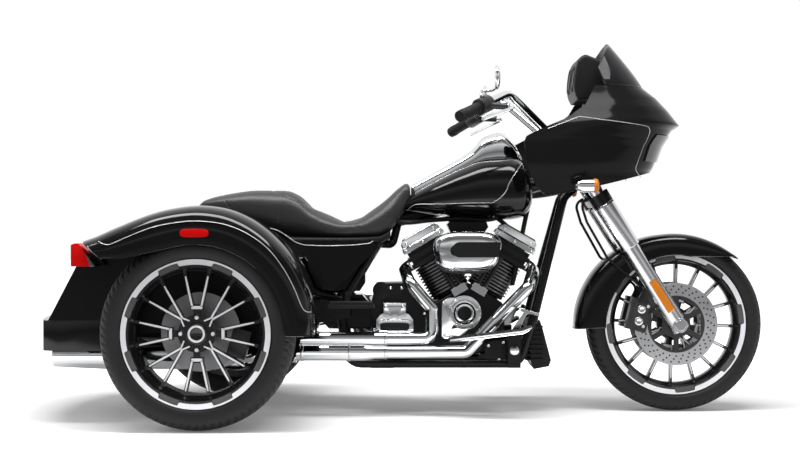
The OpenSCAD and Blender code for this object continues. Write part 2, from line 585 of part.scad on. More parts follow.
// Red lamps: one behind each fender tip against the trunk's side, and a marker on each fender's flank
marker_z = rear_tyre_r + 330;
module rear_lamps() color([0.6, 0.02, 0.02]) both_sides() {
  side_slab([[rear_x - 417, 541], [rear_x - 417, 612], [rear_x - 404, 617], [rear_x - 392, 617], [rear_x - 338, 541]],
    trunk_half_w + seat_gap + 92, 184);
  translate([rear_x, fender_side_y + seat_gap, marker_z]) rotate([-90, 0, 0]) linear_extrude(1.5)
    polygon([for (a = [0:15:345]) [47 * spow(cos(a), 0.45), 14 * spow(sin(a), 0.7)]]);
}

// Rear bumper under the trunk, with a flat pad for a plate
bumper_low_z = 248;
bumper_top_z = trunk_floor_z - seat_gap;
bumper_x = rear_x - rear_overhang;
// Points across the rounded rear face, as shares of the trunk's half width, and its depth
bumper_steps = [0.93, 0.77, 0.58, 0.4, 0.23];
bumper_round = 61;
plate_half_y = 73;
plate_half_z = 35;
plate_hole_r = 3.5;
bumper_mid_z = (bumper_low_z + bumper_top_z) / 2;
module rear_bumper() color(black) difference() {
  flat_slab(concat([[rear_x - 420, -trunk_half_w + 44], [rear_x - 332, -trunk_half_w + 44], [rear_x - 332, -trunk_half_w + 4],
    [rear_x - 500, -trunk_half_w + 2]],
    [for (k = bumper_steps) [bumper_x + bumper_round * (k * k - pow(bumper_steps[4], 2)), -k * trunk_half_w]],
    [for (i = [4:-1:0]) let (k = bumper_steps[i])
      [bumper_x + bumper_round * (k * k - pow(bumper_steps[4], 2)), k * trunk_half_w]],
    [[rear_x - 500, trunk_half_w - 2], [rear_x - 332, trunk_half_w - 4], [rear_x - 332, trunk_half_w - 44],
    [rear_x - 420, trunk_half_w - 44]]), bumper_low_z, bumper_top_z - bumper_low_z);
  for (y = [-1, 1]) for (z = [-1, 1]) translate([bumper_x - 1, y * plate_half_y, bumper_mid_z + z * plate_half_z])
    rotate([0, 90, 0]) cylinder(h = 26, r = plate_hole_r);
  for (y = [-1, 1]) translate([rear_x - 400, y * muffler_y, muffler_z]) rotate([0, -90, 0]) cylinder(h = 400, r = muffler_r + 6);
}

// Rear axle housing with the differential and half shafts
axle_tube_r = 36;
flange_r = 62;
hub_y = wheel_y - 62;
module rear_axle() color(satin) at_rear_axle() {
  rotate([90, 0, 0]) rotate_extrude() polygon([[0, -64], [70, -64], [104, -44], [108, 0], [104, 60],
    [70, 104], [0, 104]]);
  for (y = [-1, 1]) {
    rotate([y * -90, 0, 0]) cylinder(h = hub_y - 4, r = axle_tube_r);
    rotate([y * -90, 0, 0]) translate([0, 0, hub_y - 24]) cylinder(h = 20, r = flange_r);
    rotate([y * -90, 0, 0]) cylinder(h = wheel_y + 62, r = rear_axle_r);
  }
}

// Swinging arms from the pivot to the axle tubes
arm_in_y = rail_y + rail_r + 2 * seat_gap;
arm_w = 23;
module swingarm() color(black) both_sides() difference() {
  side_slab([[pivot_x + 34, pivot_z - 24], [pivot_x + 34, pivot_z + 24], [pivot_x - 60, pivot_z + 40],
    [rear_x + 20, rear_tyre_r + 56], [rear_x - 56, rear_tyre_r + 40], [rear_x - 56, rear_tyre_r - 40],
    [rear_x + 20, rear_tyre_r - 56], [pivot_x - 60, pivot_z - 40]], arm_in_y + arm_w / 2, arm_w);
  bar_y(rear_x, rear_tyre_r, axle_tube_r + seat_gap, 0, 400);
}
shock_y = 252;
module shock_absorbers() color(chrome) both_sides() {
  foot = [rear_x, shock_y, rear_tyre_r];
  top = [rear_x + 60, shock_y, rear_tyre_r + 250];
  difference() {
    union() {
      rod(foot, top, 20);
      rod(lerp(foot, top, 0.3), lerp(foot, top, 0.92), 30);
      bar_y(top[0], top[2], 18, seat_rail_y + seat_rail_r, shock_y - seat_rail_y);
    }
    bar_y(rear_x, rear_tyre_r, axle_tube_r + seat_gap, 0, 400);
  }
}

// Toothed belt and its two pulleys behind the gearbox, left of the differential
belt_y = 66;
belt_w = 28;
front_pulley_r = 38;
rear_pulley_r = 92;
belt_t = 6;
front_pulley_x = box_front_x - 206 - seat_gap - front_pulley_r - belt_t;
front_pulley_z = crank_z + 50;
function belt_loop(t) = concat(
  [for (a = [-90:10:90]) (front_pulley_r + t) * [cos(a), sin(a)] + [front_pulley_x, front_pulley_z]],
  [for (a = [90:10:270]) (rear_pulley_r + t) * [cos(a), sin(a)] + [rear_x, rear_tyre_r]]);
module belt_drive() color(satin) difference() {
  union() {
    difference() {
      side_slab(belt_loop(belt_t), belt_y + belt_w / 2, belt_w);
      side_slab(belt_loop(-1), belt_y + belt_w / 2, belt_w + 2);
    }
    bar_y(front_pulley_x, front_pulley_z, front_pulley_r, belt_y, belt_w);
    bar_y(rear_x, rear_tyre_r, rear_pulley_r, belt_y, belt_w);
  }
  bar_y(rear_x, rear_tyre_r, axle_tube_r + seat_gap, 0, 400);
}

// Rear calipers on the axle flanges, open round the disc
caliper_gap = 5.5;
rear_disc_y = hub_y + 14;
rear_caliper_a = -16;
module rear_calipers() color(satin) both_sides() difference() {
  at_rear_axle() rotate([0, -rear_caliper_a, 0]) {
    box([104, rear_disc_y - 34, -48], [rear_disc_r + 34, rear_disc_y + disc_t + 24, 48]);
    box([50, hub_y - 22, -26], [112, hub_y - 8, 26]);
  }
  bar_y(rear_x, rear_tyre_r, flange_r + seat_gap, 0, 800);
  bar_y(rear_x, rear_tyre_r, rear_disc_r + caliper_gap, rear_disc_y - caliper_gap, disc_t + 2 * caliper_gap);
}

// Rider's footboards on brackets from the lower rails
board_x = crank_x - 79;
board_len = 288;
board_z = 272;
board_in_y = 252;
board_out_y = 360;
bracket_x = crank_x + 133;
module footboards() color(satin) both_sides() {
  side_slab([[board_x, board_z], [board_x + board_len - 30, board_z + 30], [board_x + board_len, board_z + 46],
    [board_x + board_len, board_z + 56], [board_x + board_len - 34, board_z + 42], [board_x, board_z + 12]],
    (board_in_y + board_out_y) / 2, board_out_y - board_in_y);
  box([bracket_x, rail_y + rail_r + seat_gap, rail_z - 8], [bracket_x + 44, board_in_y - 30, rail_z + 14]);
  box([bracket_x, board_in_y - 44, rail_z - 8], [bracket_x + 44, board_in_y - 16, board_z + 8]);
  box([bracket_x, board_in_y - 44, board_z + 8], [bracket_x + 44, board_in_y + 40, board_z + 26]);
}
module passenger_boards() color(satin) both_sides() {
  box([pivot_x - 40, 214, 388], [pivot_x + 120, 324, 400]);
  box([pivot_x - 34, 220, 400], [pivot_x + 114, 318, 410]);
  // Bracket to the frame's rear leg
  leg = lerp([rear_x + 590, seat_rail_y + 6, seat_rail_z + 4], [pivot_x, rail_y, pivot_z + 20], 0.82);
  bar_y(leg[0], leg[2], 9, leg[1] + 17 + seat_gap, 224 - leg[1] - 17);
  box([leg[0] - 9, 215, 396], [leg[0] + 9, 226, leg[2] + 9]);
}
pedal_z = board_z + 26 + seat_gap;
module brake_pedal() color(chrome) {
  side_slab([[bracket_x + 8, pedal_z], [bracket_x + 36, pedal_z], [bracket_x + 62, pedal_z + 60], [bracket_x + 80, pedal_z + 72],
    [bracket_x + 60, pedal_z + 78]], -board_in_y + 34, 12);
  translate([bracket_x + 70, -board_in_y - 6, pedal_z + 76]) rotate([0, 14, 0]) cube([62, 92, 10], center = true);
}
module shift_lever() color(chrome) {
  side_slab([[bracket_x + 8, pedal_z], [bracket_x + 36, pedal_z], [bracket_x + 62, pedal_z + 52], [bracket_x + 92, pedal_z + 66],
    [bracket_x + 92, pedal_z + 76], [bracket_x + 56, pedal_z + 62], [bracket_x - 170, pedal_z + 44], [bracket_x - 170, pedal_z + 34],
    [bracket_x + 24, pedal_z + 34]], board_in_y - 36, 10);
  bar_y(bracket_x + 88, pedal_z + 71, 9, board_in_y - 41, 66);
  bar_y(bracket_x - 164, pedal_z + 39, 9, board_in_y - 41, 66);
}

// Oil cooler between the down tubes
module oil_cooler() color(satin) {
  front = rear_x + 1126;
  half = rail_y - rail_r - seat_gap;
  side_slab([[front, 340], [front + 46, 334], [front + 56, 304], [front + 86, 190], [front + 78, 168], [front + 24, 158],
    [front + 14, 176]], 0, 2 * half - 20);
  for (i = [0:7]) translate([front - 6, -half, 190 + i * 17]) cube([62, 2 * half, 5]);
}

// Fairing: outline by height. Rows of [height, nose ahead of the front axle]
nose_rows = [[783, -82], [868, -92], [882, -82], [900, -74], [960, -52], [1021, -12], [1040, 17], [1090, -22], [1137, -66], [1176, -118]];
// Rows of [height, rear edge ahead of the front axle]
edge_rows = [[783, -498], [808, -525], [853, -551], [906, -569], [970, -574], [987, -567], [1012, -518], [1051, -425],
  [1102, -355], [1163, -321], [1176, -314]];
// Rows of [height, half width]
side_rows = [[783, 296], [850, 326], [910, 346], [970, 350], [1020, 340], [1080, 300], [1130, 266], [1176, 244]];
fairing_top_z = 1174;
fairing_t = 5;
// Point at angle a round the nose, height z, moved in by t
function fairing_at(a, z, t) = let (back = front_x + look(edge_rows, z), nose = front_x + look(nose_rows, z), w = look(side_rows, z))
  [back + (nose - t - back) * spow(cos(a), 0.92), (w - t) * spow(sin(a), 0.86), z];
function fairing_low(a) = 783 + 88 * pow(cos(a), 1.3);
fairing_angles = [-90, -80, -70, -60, -50, -40, -31, -23, -16, -10, -5, 0, 5, 10, 16, 23, 31, 40, 50, 60, 70, 80, 90];
fairing_steps = [0, 0.06, 0.13, 0.2, 0.28, 0.36, 0.44, 0.52, 0.58, 0.63, 0.67, 0.71, 0.78, 0.86, 0.93, 1];
function fairing_grid(t) = [for (f = fairing_steps) [for (a = fairing_angles)
  fairing_at(a, lerp(fairing_low(a), fairing_top_z, f), t)]];
module fairing() color(black) sheet(fairing_grid(0), fairing_grid(fairing_t));
// Solid that fills the fairing between two heights, moved in by t
module fairing_fill(t, lo, hi) skin([for (k = [0:14]) let (z = lerp(lo, hi, k / 14))
  [for (a = fairing_angles) fairing_at(a, z, t)]]);

// Stay from the steering head to the nose and up to the dash
dash_low_z = 1128;
module fairing_bracket() color(satin) difference() {
  head = steer_at(860);
  nose = front_x - 60;
  intersection() {
    union() {
      side_slab([[head[0] - 10, 842], [head[0] + 60, 872], [nose + 60, 892], [nose + 62, 1000], [nose - 10, 1128], [front_x - 330, dash_low_z - seat_gap],
        [front_x - 330, dash_low_z - 34], [nose - 70, 1090], [nose - 60, 968], [head[0] + 90, 922], [head[0] - 10, 894]], 0, 46);
      box([nose - 20, -400, 950], [nose + 4, 400, 990]);
    }
    fairing_fill(fairing_t + 1.2, 830, 1160);
  }
  on_head(head_low_z - 5) cylinder(h = 200, r = head_r + seat_gap);
}
module dash() color(satin) {
  x = front_x - 364;
  side_slab([[x + 2, dash_low_z], [x - 6, 1190], [x + 8, 1262], [x + 30, 1300], [x + 110, 1264], [x + 106, 1250], [x + 56, 1244],
    [x + 56, dash_low_z]], 0, 250);
  for (y = [-62, 62]) translate([x + 12, y, 1212]) rotate([0, -84, 0]) cylinder(h = 16, r = 48);
}
// Windscreen on the fairing's top edge: t runs up from the base
screen_angles = [-82, -74, -64, -54, -44, -34, -24, -14, -5, 5, 14, 24, 34, 44, 54, 64, 74, 82];
screen_t = 4;
function screen_at(a, f, t) = let (base = fairing_at(a, fairing_top_z, 1 + t), rise = 22 + 146 * pow(cos(a), 0.6))
  [base[0] - 128 * pow(f, 1.15) * cos(a), base[1] * (1 - 0.22 * f), fairing_top_z + seat_gap + rise * f];
function screen_grid(t) = [for (f = [0:0.125:1]) [for (a = screen_angles) screen_at(a, f, t)]];
module windscreen() color([0.1, 0.1, 0.1, 0.6]) sheet(screen_grid(0), screen_grid(screen_t));
// Two headlamp lenses laid on the nose below its tip
lamp_angles = [8, 12, 16, 21, 26, 31];
function lamp_grid(t) = [for (k = [0:5]) [for (a = lamp_angles) fairing_at(a, lerp(906, 1000, k / 5), t)]];
module headlamps() color([0.9, 0.9, 0.9]) both_sides() sheet(lamp_grid(-6), lamp_grid(-1.5));
// Front turn signals on stalks from the fairing's lower sides
signal_x = front_x - 366;
signal_y = 334;
signal_z = 815;
module turn_signals() color(chrome) difference() {
  both_sides() {
    translate([signal_x, signal_y, signal_z]) rotate([0, 90, 0]) rotate_extrude()
      polygon([[0, -32], [10, -30], [18, -22], [23, -8], [24, 20], [24, 42], [20, 47], [0, 49]]);
    bar_y(signal_x + 8, signal_z + 14, 9, 240, signal_y - 240);
  }
  fairing_fill(-seat_gap, 770, 1170);
}

// Front fork and steering
function clamp_s(z) = (z - front_tyre_r) / cos(fork_angle);
cover_drop = 51;
cover_len = 152;
fork_proud = 23;
slider_low = -20;
// The axle boss lies a little inside the slider's sides
boss_in = 0.6;
cover_top = clamp_s(clamp_low_z) - cover_drop;
slider_top = cover_top - cover_len;
fork_top = clamp_s(clamp_top_z) + fork_proud;
module fork_legs() color(chrome) both_sides() difference() {
  union() {
    on_fork(fork_y, slider_low) cylinder(h = slider_top - slider_low, r = slider_r);
    on_fork(fork_y, slider_top) cylinder(h = cover_top - slider_top, r = cover_r);
    on_fork(fork_y, cover_top) cylinder(h = fork_top - cover_top, r = fork_tube_r);
    bar_y(front_x, front_tyre_r, 26, fork_y - slider_r + boss_in, 2 * (slider_r - boss_in));
    // Boss for the front fender
    on_fork(0, 286) rotate([-90, 0, 0]) translate([0, 0, guard_half_w + seat_gap]) cylinder(h = fork_y - guard_half_w, r = 15);
  }
  bar_y(front_x, front_tyre_r, front_axle_r + run_gap, 0, 400);
}
// Yoke in the plane square to the fork: reach is how far the stem lies ahead of the fork tubes
module yoke(z, reach) on_fork(0, clamp_s(z) - clamp_t / 2) difference() {
  union() {
    linear_extrude(clamp_t) polygon([[-30, -fork_y], [-34, -40], [-34, 40], [-30, fork_y], [30, fork_y], [reach + 36, 34],
      [reach + 36, -34], [30, -fork_y]]);
    for (y = [-fork_y, fork_y]) translate([0, y, -8]) cylinder(h = clamp_t + 16, r = fork_tube_r + 15);
  }
  for (y = [-fork_y, fork_y]) translate([0, y, -20]) cylinder(h = clamp_t + 40, r = fork_tube_r + seat_gap);
}
module triple_clamps() color(satin) {
  yoke(clamp_low_z, stem_reach(clamp_low_z));
  yoke(clamp_top_z, stem_reach(clamp_top_z));
  on_head(clamp_low_z - 8) cylinder(h = (clamp_top_z - clamp_low_z + 26) / cos(rake), r = stem_r);
}
module front_axle() color(chrome) {
  bar_y(front_x, front_tyre_r, front_axle_r, -fork_y - 38, 2 * fork_y + 76);
  both_sides() {
    bar_y(front_x, front_tyre_r, 18, front_hub_y + run_gap, fork_y - slider_r - seat_gap - front_hub_y - run_gap);
    bar_y(front_x, front_tyre_r, 18, fork_y + slider_r + seat_gap, 8);
  }
}

// Handlebar: points from the left end to the right end
bar_end = [front_x - 798.5, 420, 1050];
bar_bend = [front_x - 616.5, 176, 1150];
bar_foot = [front_x - 442.5, 85, 988];
function other(p) = [p[0], -p[1], p[2]];
bar_line = unit(bar_end - bar_bend);
module handlebar() color(chrome) difference() {
  union() {
    tube(rounded([bar_end, bar_bend, bar_foot, other(bar_foot), other(bar_bend), other(bar_end)], 55, 6), bar_r, 14);
    // Risers on the upper yoke
    for (y = [-46, 46]) hull() {
      translate([bar_foot[0], y, bar_foot[2]]) sphere(24, $fn = 16);
      on_fork(y, clamp_s(clamp_top_z) + 6) translate([-6, 0, 0]) cylinder(h = 8, r = 22, $fn = 16);
    }
  }
  on_fork(0, clamp_s(clamp_top_z) - 40) translate([0, 0, 20 - clamp_t / 2]) linear_extrude(20 + clamp_t + seat_gap)
    square([300, 400], center = true);
}
grip_len = 118;
module along_grip(side, s) {
  p = bar_end - bar_line * s;
  d = bar_line;
  translate([p[0], side * p[1], p[2]]) rotate([0, acos(d[2]), atan2(side * d[1], d[0])]) children();
}
module grips() color(satin) for (side = [-1, 1]) along_grip(side, grip_len) difference() {
  union() {
    cylinder(h = grip_len + 6, r = grip_r);
    cylinder(h = 6, r = grip_r + 5);
  }
  translate([0, 0, -1]) cylinder(h = grip_len + 1 + seat_gap, r = bar_r + seat_gap);
}
// Middle of each switch housing, the way up from it, and the lever's pivot ahead of it
housing_len = 61;
housing_r = 29;
housing_mid = bar_end - bar_line * (grip_len + 1 + housing_len / 2);
housing_up = unit([0, 0, 1] - bar_line[2] * bar_line);
lever_pivot = housing_mid + [84, -4, -4];
module hand_controls() color(satin) for (side = [-1, 1]) difference() {
  union() {
    along_grip(side, grip_len + 1 + housing_len) cylinder(h = housing_len, r = housing_r);
    rod(side > 0 ? housing_mid : other(housing_mid), side > 0 ? lever_pivot : other(lever_pivot), 12);
  }
  along_grip(side, grip_len + 4 + housing_len) cylinder(h = housing_len + 8, r = bar_r + seat_gap);
}
lever_r = 6.5;
module levers() color(chrome) both_sides() {
  d = unit(lever_pivot - housing_mid);
  tube(rounded([lever_pivot + d * seat_gap, lever_pivot + d * 34, lever_pivot + d * 18 + bar_line * 70,
    lever_pivot + bar_line * 174 + [6, 0, 0]], 11), lever_r, 10);
}
mirror_at = [front_x - 668.5, 372, 1186];
mirror_half = [65, 42];
module mirrors() color(chrome) both_sides() {
  foot = housing_mid + housing_up * (housing_r + seat_gap);
  rod(foot, foot + housing_up * 10, 9);
  rod(foot + housing_up * 5, mirror_at - [8, 0, 20], 5.5);
  translate(mirror_at) rotate([90, 0, 90]) linear_extrude(18, center = true)
    polygon([for (a = [0:15:345]) [mirror_half[0] * spow(cos(a), 0.6), mirror_half[1] * spow(sin(a), 0.7)]]);
}

// Front fender: rows of [angle about the axle, crown radius beyond the tyre]
guard_half_w = 84;
guard_t = 3.5;
guard_rows = [[47, 11], [54, 11], [62, 11], [72, 11], [84, 11], [96, 11], [108, 15], [118, 20], [130, 26], [143, 33], [156, 39], [170, 45], [183, 50]];
guard_across = [[-84, 0], [-84, 0.35], [-82, 0.62], [-74, 0.82], [-58, 0.94], [-32, 0.99], [0, 1], [32, 0.99], [58, 0.94], [74, 0.82],
  [82, 0.62], [84, 0.35], [84, 0]];
function guard_lip(a) = min(front_tyre_r + 4, a < 90 ? max(250, 245 / sin(a)) : 250 + max(0, a - 150) * 0.2);
function guard_point(row, c, t) = let (crown = front_tyre_r + row[1], lip = min(guard_lip(row[0]), crown - 8))
  let (side = min(1, pow(abs(c[0]) / 84, 4)), r = lerp(lip, crown, c[1]) - t * (1 - side), y = (c[0] - sign(c[0]) * t * side) * guard_half_w / 84)
  [front_x + r * cos(row[0]), y, front_tyre_r + r * sin(row[0])];
module fender_front() color(black) sheet([for (row = guard_rows) [for (c = guard_across) guard_point(row, c, 0)]],
  [for (row = guard_rows) [for (c = guard_across) guard_point(row, c, guard_t)]]);

// Front calipers behind the fork legs, open round the discs
front_hub_y = 76;
front_disc_y = 68 + seat_gap;
front_caliper_a = 166;
module front_calipers() color(satin) both_sides() difference() {
  union() {
    at_front_axle() rotate([0, -front_caliper_a, 0]) {
      box([104, front_disc_y - 20, -58], [front_disc_r + 30, front_disc_y + disc_t + 20, 58]);
      box([112, front_disc_y + disc_t + 8, -44], [front_disc_r + 18, fork_y - slider_r - seat_gap, 44]);
    }
    // Lug that meets the slider
    translate([0, fork_y - slider_r - seat_gap - 10, 0]) rotate([-90, 0, 0]) linear_extrude(10) polygon([
      for (p = [[fork_angle + 90, 96], [fork_angle + 90, 196], [front_caliper_a - 18, 168], [front_caliper_a - 4, 112]])
        [front_x + p[1] * cos(p[0]), -front_tyre_r - p[1] * sin(p[0])]]);
  }
  bar_y(front_x, front_tyre_r, front_disc_r + caliper_gap, front_disc_y - caliper_gap, disc_t + 2 * caliper_gap);
}
hose_r = 5;
module brake_hoses() color(satin) both_sides() {
  out = [cos(front_caliper_a - 90), 0, sin(front_caliper_a - 90)];
  foot = [front_x + 150 * cos(front_caliper_a), front_disc_y + disc_t + 5, front_tyre_r + 150 * sin(front_caliper_a)] + out * (58 + seat_gap);
  tube(rounded([foot, foot + out * 40, fork_at(560, 104) + [-104, 0, 0], fork_at(690, 96) + [-96, 0, 0],
    fork_at(clamp_low_z, 90) + [-66, 0, -12], fork_at(clamp_low_z, 90) + [-36, 0, 6]], 30), hose_r, 8);
}

// Wheels: rim section of radius b at the bead and half width h, as [radius, across]
function rim_section(b, h) = [[b - 9, -h], [b + 16, -h], [b + 16, -h + 7], [b, -h + 12], [b, -h + 28], [b - 13, -h + 40], [b - 13, h - 40],
  [b, h - 28], [b, h - 12], [b + 16, h - 7], [b + 16, h], [b - 9, h], [b - 12, h - 14], [b - 24, h - 34], [b - 24, -h + 34], [b - 12, -h + 14]];
function tyre_section(b, r, w, h) = let (half = [[b + seat_gap, h - 12.6], [b + 15, h - 12.6], [b + 18, w / 2 - 12], [b + (r - b) * 0.36, w / 2 - 3],
  [b + (r - b) * 0.52, w / 2], [b + (r - b) * 0.72, w / 2 - 4], [r - 13, w * 0.42], [r - 5, w * 0.33], [r - 1.2, w * 0.2], [r, w * 0.07]])
  concat([for (p = half) [p[0], -p[1]]], [for (i = [len(half) - 1:-1:0]) half[i]]);
function strip(p, q, w) = let (d = unit(q - p), n = [-d[1], d[0]] * w / 2) [p - n, q - n, q + n, p + n];
function polar(r, a) = r * [cos(a), sin(a)];
// Spoke pattern: pairs that end in a bar and pairs that end in a point, in turn
module spoke_pattern(b) {
  step = 360 / spokes;
  circle(62);
  for (k = [0:spokes / 4 - 1]) rotate(k * 4 * step) {
    for (side = [-1, 1]) polygon(strip([88, side * 15], polar(b - 18, side * step / 2), 11));
    translate([78, -21]) square([18, 42]);
    translate([50, -11]) square([34, 22]);
    rotate(2 * step) {
      for (side = [-1, 1]) polygon(strip([70, side * 3], polar(b - 18, side * step / 2), 11));
      translate([50, -8]) square([30, 16]);
    }
  }
}
// Shallow pockets in the rim face at height z, between the pairs of spokes
pocket_d = 4;
pocket_a = 8.6;
module rim_pockets(b, z) for (k = [0:7]) rotate(22.5 + 45 * k) translate([0, 0, z]) linear_extrude(pocket_d + 2)
  polygon(concat([for (a = [-1:0.5:1]) polar(b + 11, a * pocket_a)], [for (a = [1:-0.5:-1]) polar(b - 14, a * pocket_a)]));
module wheel(b, h, spoke_lo, spoke_hi) {
  difference() {
    rotate_extrude($fn = 96) polygon(rim_section(b, h));
    rim_pockets(b, h - pocket_d);
    rim_pockets(b, -h - 2);
  }
  translate([0, 0, spoke_lo]) linear_extrude(spoke_hi - spoke_lo) spoke_pattern(b);
}
// How far the front wheel's pattern is turned at rest
front_turn = -14;
front_rim_h = front_tyre_w / 2 - 10;
rear_rim_h = rear_tyre_w / 2 - 10;
module wheel_front() color(satin) translate([front_x, 0, front_tyre_r]) rotate([90, 0, 0]) difference() {
  union() {
    rotate(front_turn) wheel(front_rim_r, front_rim_h, -17, 17);
    translate([0, 0, -68]) cylinder(h = 136, r = 50);
    translate([0, 0, -front_hub_y]) cylinder(h = 2 * front_hub_y, r = 30);
  }
  cylinder(h = 300, r = front_axle_r + run_gap, center = true);
}
module tyre_front() color(black) translate([front_x, 0, front_tyre_r]) rotate([90, 0, 0]) rotate_extrude($fn = 96)
  polygon(tyre_section(front_rim_r, front_tyre_r, front_tyre_w, front_rim_h));
module discs_front() color(steel) both_sides() translate([front_x, front_disc_y, front_tyre_r]) rotate([-90, 0, 0])
  linear_extrude(disc_t) difference() {
    circle(front_disc_r);
    circle(30 + seat_gap);
    for (a = [0:60:300]) rotate(a) polygon([for (q = [[52, -20], [98, -24], [98, 24], [52, 20]]) polar(q[0], q[1])]);
  }
// Rear wheel with its disc, drawn with the outer face up
module rear_wheel() difference() {
  union() {
    wheel(rear_rim_r, rear_rim_h, 26, 58);
    translate([0, 0, -62]) cylinder(h = 124, r = 46);
    translate([0, 0, -62 + rear_disc_y - hub_y]) cylinder(h = disc_t, r = rear_disc_r);
  }
  translate([0, 0, -70]) cylinder(h = 140, r = rear_axle_r + run_gap);
}
module at_rear_wheel(side) translate([rear_x, side * wheel_y, rear_tyre_r]) rotate([side * -90, 0, 0]) children();
module wheel_rear_right() color(satin) at_rear_wheel(-1) rear_wheel();
module wheel_rear_left() color(satin) at_rear_wheel(1) rear_wheel();
module rear_tyre() rotate_extrude($fn = 96) polygon(tyre_section(rear_rim_r, rear_tyre_r, rear_tyre_w, rear_rim_h));
module tyre_rear_right() color(black) at_rear_wheel(-1) rear_tyre();
module tyre_rear_left() color(black) at_rear_wheel(1) rear_tyre();

frame();
steering_head();
crankcase();
cylinders();
rocker_covers();
pushrods();
cam_cover();
air_cleaner();
air_cleaner_insert();
gearbox();
gearbox_cover();
primary_cover();
exhaust_headers();
collector();
mufflers();
fuel_tank();
tank_console();
seat();
side_covers();
trunk();
trunk_lid();
fender_rear_right();
fender_rear_left();
rear_lamps();
rear_bumper();
rear_axle();
swingarm();
shock_absorbers();
belt_drive();
rear_calipers();
footboards();
passenger_boards();
brake_pedal();
shift_lever();
oil_cooler();
fairing();
fairing_bracket();
dash();
windscreen();
headlamps();
turn_signals();
fork_legs();
triple_clamps();
front_axle();
handlebar();
grips();
hand_controls();
levers();
mirrors();
fender_front();
front_calipers();
brake_hoses();
wheel_front();
tyre_front();
discs_front();
wheel_rear_right();
tyre_rear_right();
wheel_rear_left();
tyre_rear_left();
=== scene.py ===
import json
import math

import bpy
import numpy as np
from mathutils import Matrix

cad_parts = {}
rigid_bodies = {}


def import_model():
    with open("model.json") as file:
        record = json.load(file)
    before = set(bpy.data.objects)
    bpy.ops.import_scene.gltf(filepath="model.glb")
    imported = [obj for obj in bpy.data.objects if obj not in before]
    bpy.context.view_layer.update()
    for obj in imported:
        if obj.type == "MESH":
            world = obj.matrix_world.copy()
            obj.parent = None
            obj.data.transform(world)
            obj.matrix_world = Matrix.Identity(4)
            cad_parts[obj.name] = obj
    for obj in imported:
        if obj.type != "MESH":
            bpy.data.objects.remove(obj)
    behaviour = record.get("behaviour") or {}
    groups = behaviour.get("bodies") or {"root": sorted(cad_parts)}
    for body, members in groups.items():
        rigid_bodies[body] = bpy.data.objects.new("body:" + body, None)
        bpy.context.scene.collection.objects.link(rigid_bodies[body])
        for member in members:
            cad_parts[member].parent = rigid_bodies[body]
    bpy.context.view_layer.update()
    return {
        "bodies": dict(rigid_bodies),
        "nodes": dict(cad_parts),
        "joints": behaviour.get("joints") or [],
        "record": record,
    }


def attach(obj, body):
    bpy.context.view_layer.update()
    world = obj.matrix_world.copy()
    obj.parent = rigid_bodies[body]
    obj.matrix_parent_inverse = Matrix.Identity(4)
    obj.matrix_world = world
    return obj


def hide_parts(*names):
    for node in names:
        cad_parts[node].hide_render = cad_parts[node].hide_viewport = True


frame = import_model()
nodes = frame["nodes"]
print("trike: frame loaded")

# Stations shared with the CAD model, in metres
stance = {"frontX": 0.9785, "rearX": -0.6915, "frontR": 0.319, "rearR": 0.321, "wheelY": 0.575,
          "frontW": 0.130, "rearW": 0.205, "frontRim": 0.241, "rearRim": 0.229,
          "forkAngle": math.radians(32), "forkY": 0.128}


# Mesh makers. Each takes whole arrays of points and face corners.

def meshObject(name, points, faces, material, body, smooth=True):
    points = np.asarray(points, float).reshape(-1, 3)
    faces = [np.asarray(f, int) for f in (faces if isinstance(faces, list) else [faces])]
    faces = [f for f in faces if len(f)]
    mesh = bpy.data.meshes.new(name)
    mesh.vertices.add(len(points))
    mesh.vertices.foreach_set("co", points.ravel())
    corners = np.concatenate([f.ravel() for f in faces])
    sizes = np.concatenate([np.full(len(f), f.shape[1]) for f in faces])
    mesh.loops.add(len(corners))
    mesh.loops.foreach_set("vertex_index", corners)
    mesh.polygons.add(len(sizes))
    mesh.polygons.foreach_set("loop_start", np.concatenate([[0], np.cumsum(sizes)[:-1]]))
    mesh.polygons.foreach_set("use_smooth", np.full(len(sizes), smooth))
    mesh.update(calc_edges=True)
    mesh.validate()
    mesh.materials.append(material)
    obj = bpy.data.objects.new(name, mesh)
    bpy.context.scene.collection.objects.link(obj)
    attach(obj, body)
    return obj


# Quads of an m by n grid, closed along either way if asked
def gridQuads(m, n, closeM=False, closeN=False, first=0):
    i = np.arange(m if closeM else m - 1)
    j = np.arange(n if closeN else n - 1)
    i, j = np.meshgrid(i, j, indexing="ij")
    i2, j2 = (i + 1) % m, (j + 1) % n
    return (np.stack([i * n + j, i2 * n + j, i2 * n + j2, i * n + j2], -1) + first).reshape(-1, 4)


# A sheet with thickness: the outer and inner grids joined by strips round the four edges
def sheetParts(outer, inner):
    m, n = outer.shape[:2]
    index = np.arange(m * n).reshape(m, n)
    loop = np.concatenate([index[0, :-1], index[:-1, -1], index[-1, :0:-1], index[:0:-1, 0]])
    nxt = np.roll(loop, -1)
    rim = np.stack([loop, nxt, nxt + m * n, loop + m * n], -1)
    faces = np.concatenate([gridQuads(m, n), gridQuads(m, n, first=m * n)[:, ::-1], rim[:, ::-1]])
    return np.concatenate([outer.reshape(-1, 3), inner.reshape(-1, 3)]), faces


# Faces turned over where they don't point outwards yet
def facing(parts, outward):
    points, faces = parts
    if outward:
        return points, faces
    return points, [f[:, ::-1] for f in faces] if isinstance(faces, list) else faces[:, ::-1]


def fullTurn(count):
    return np.linspace(0, 2 * np.pi, count, endpoint=False)


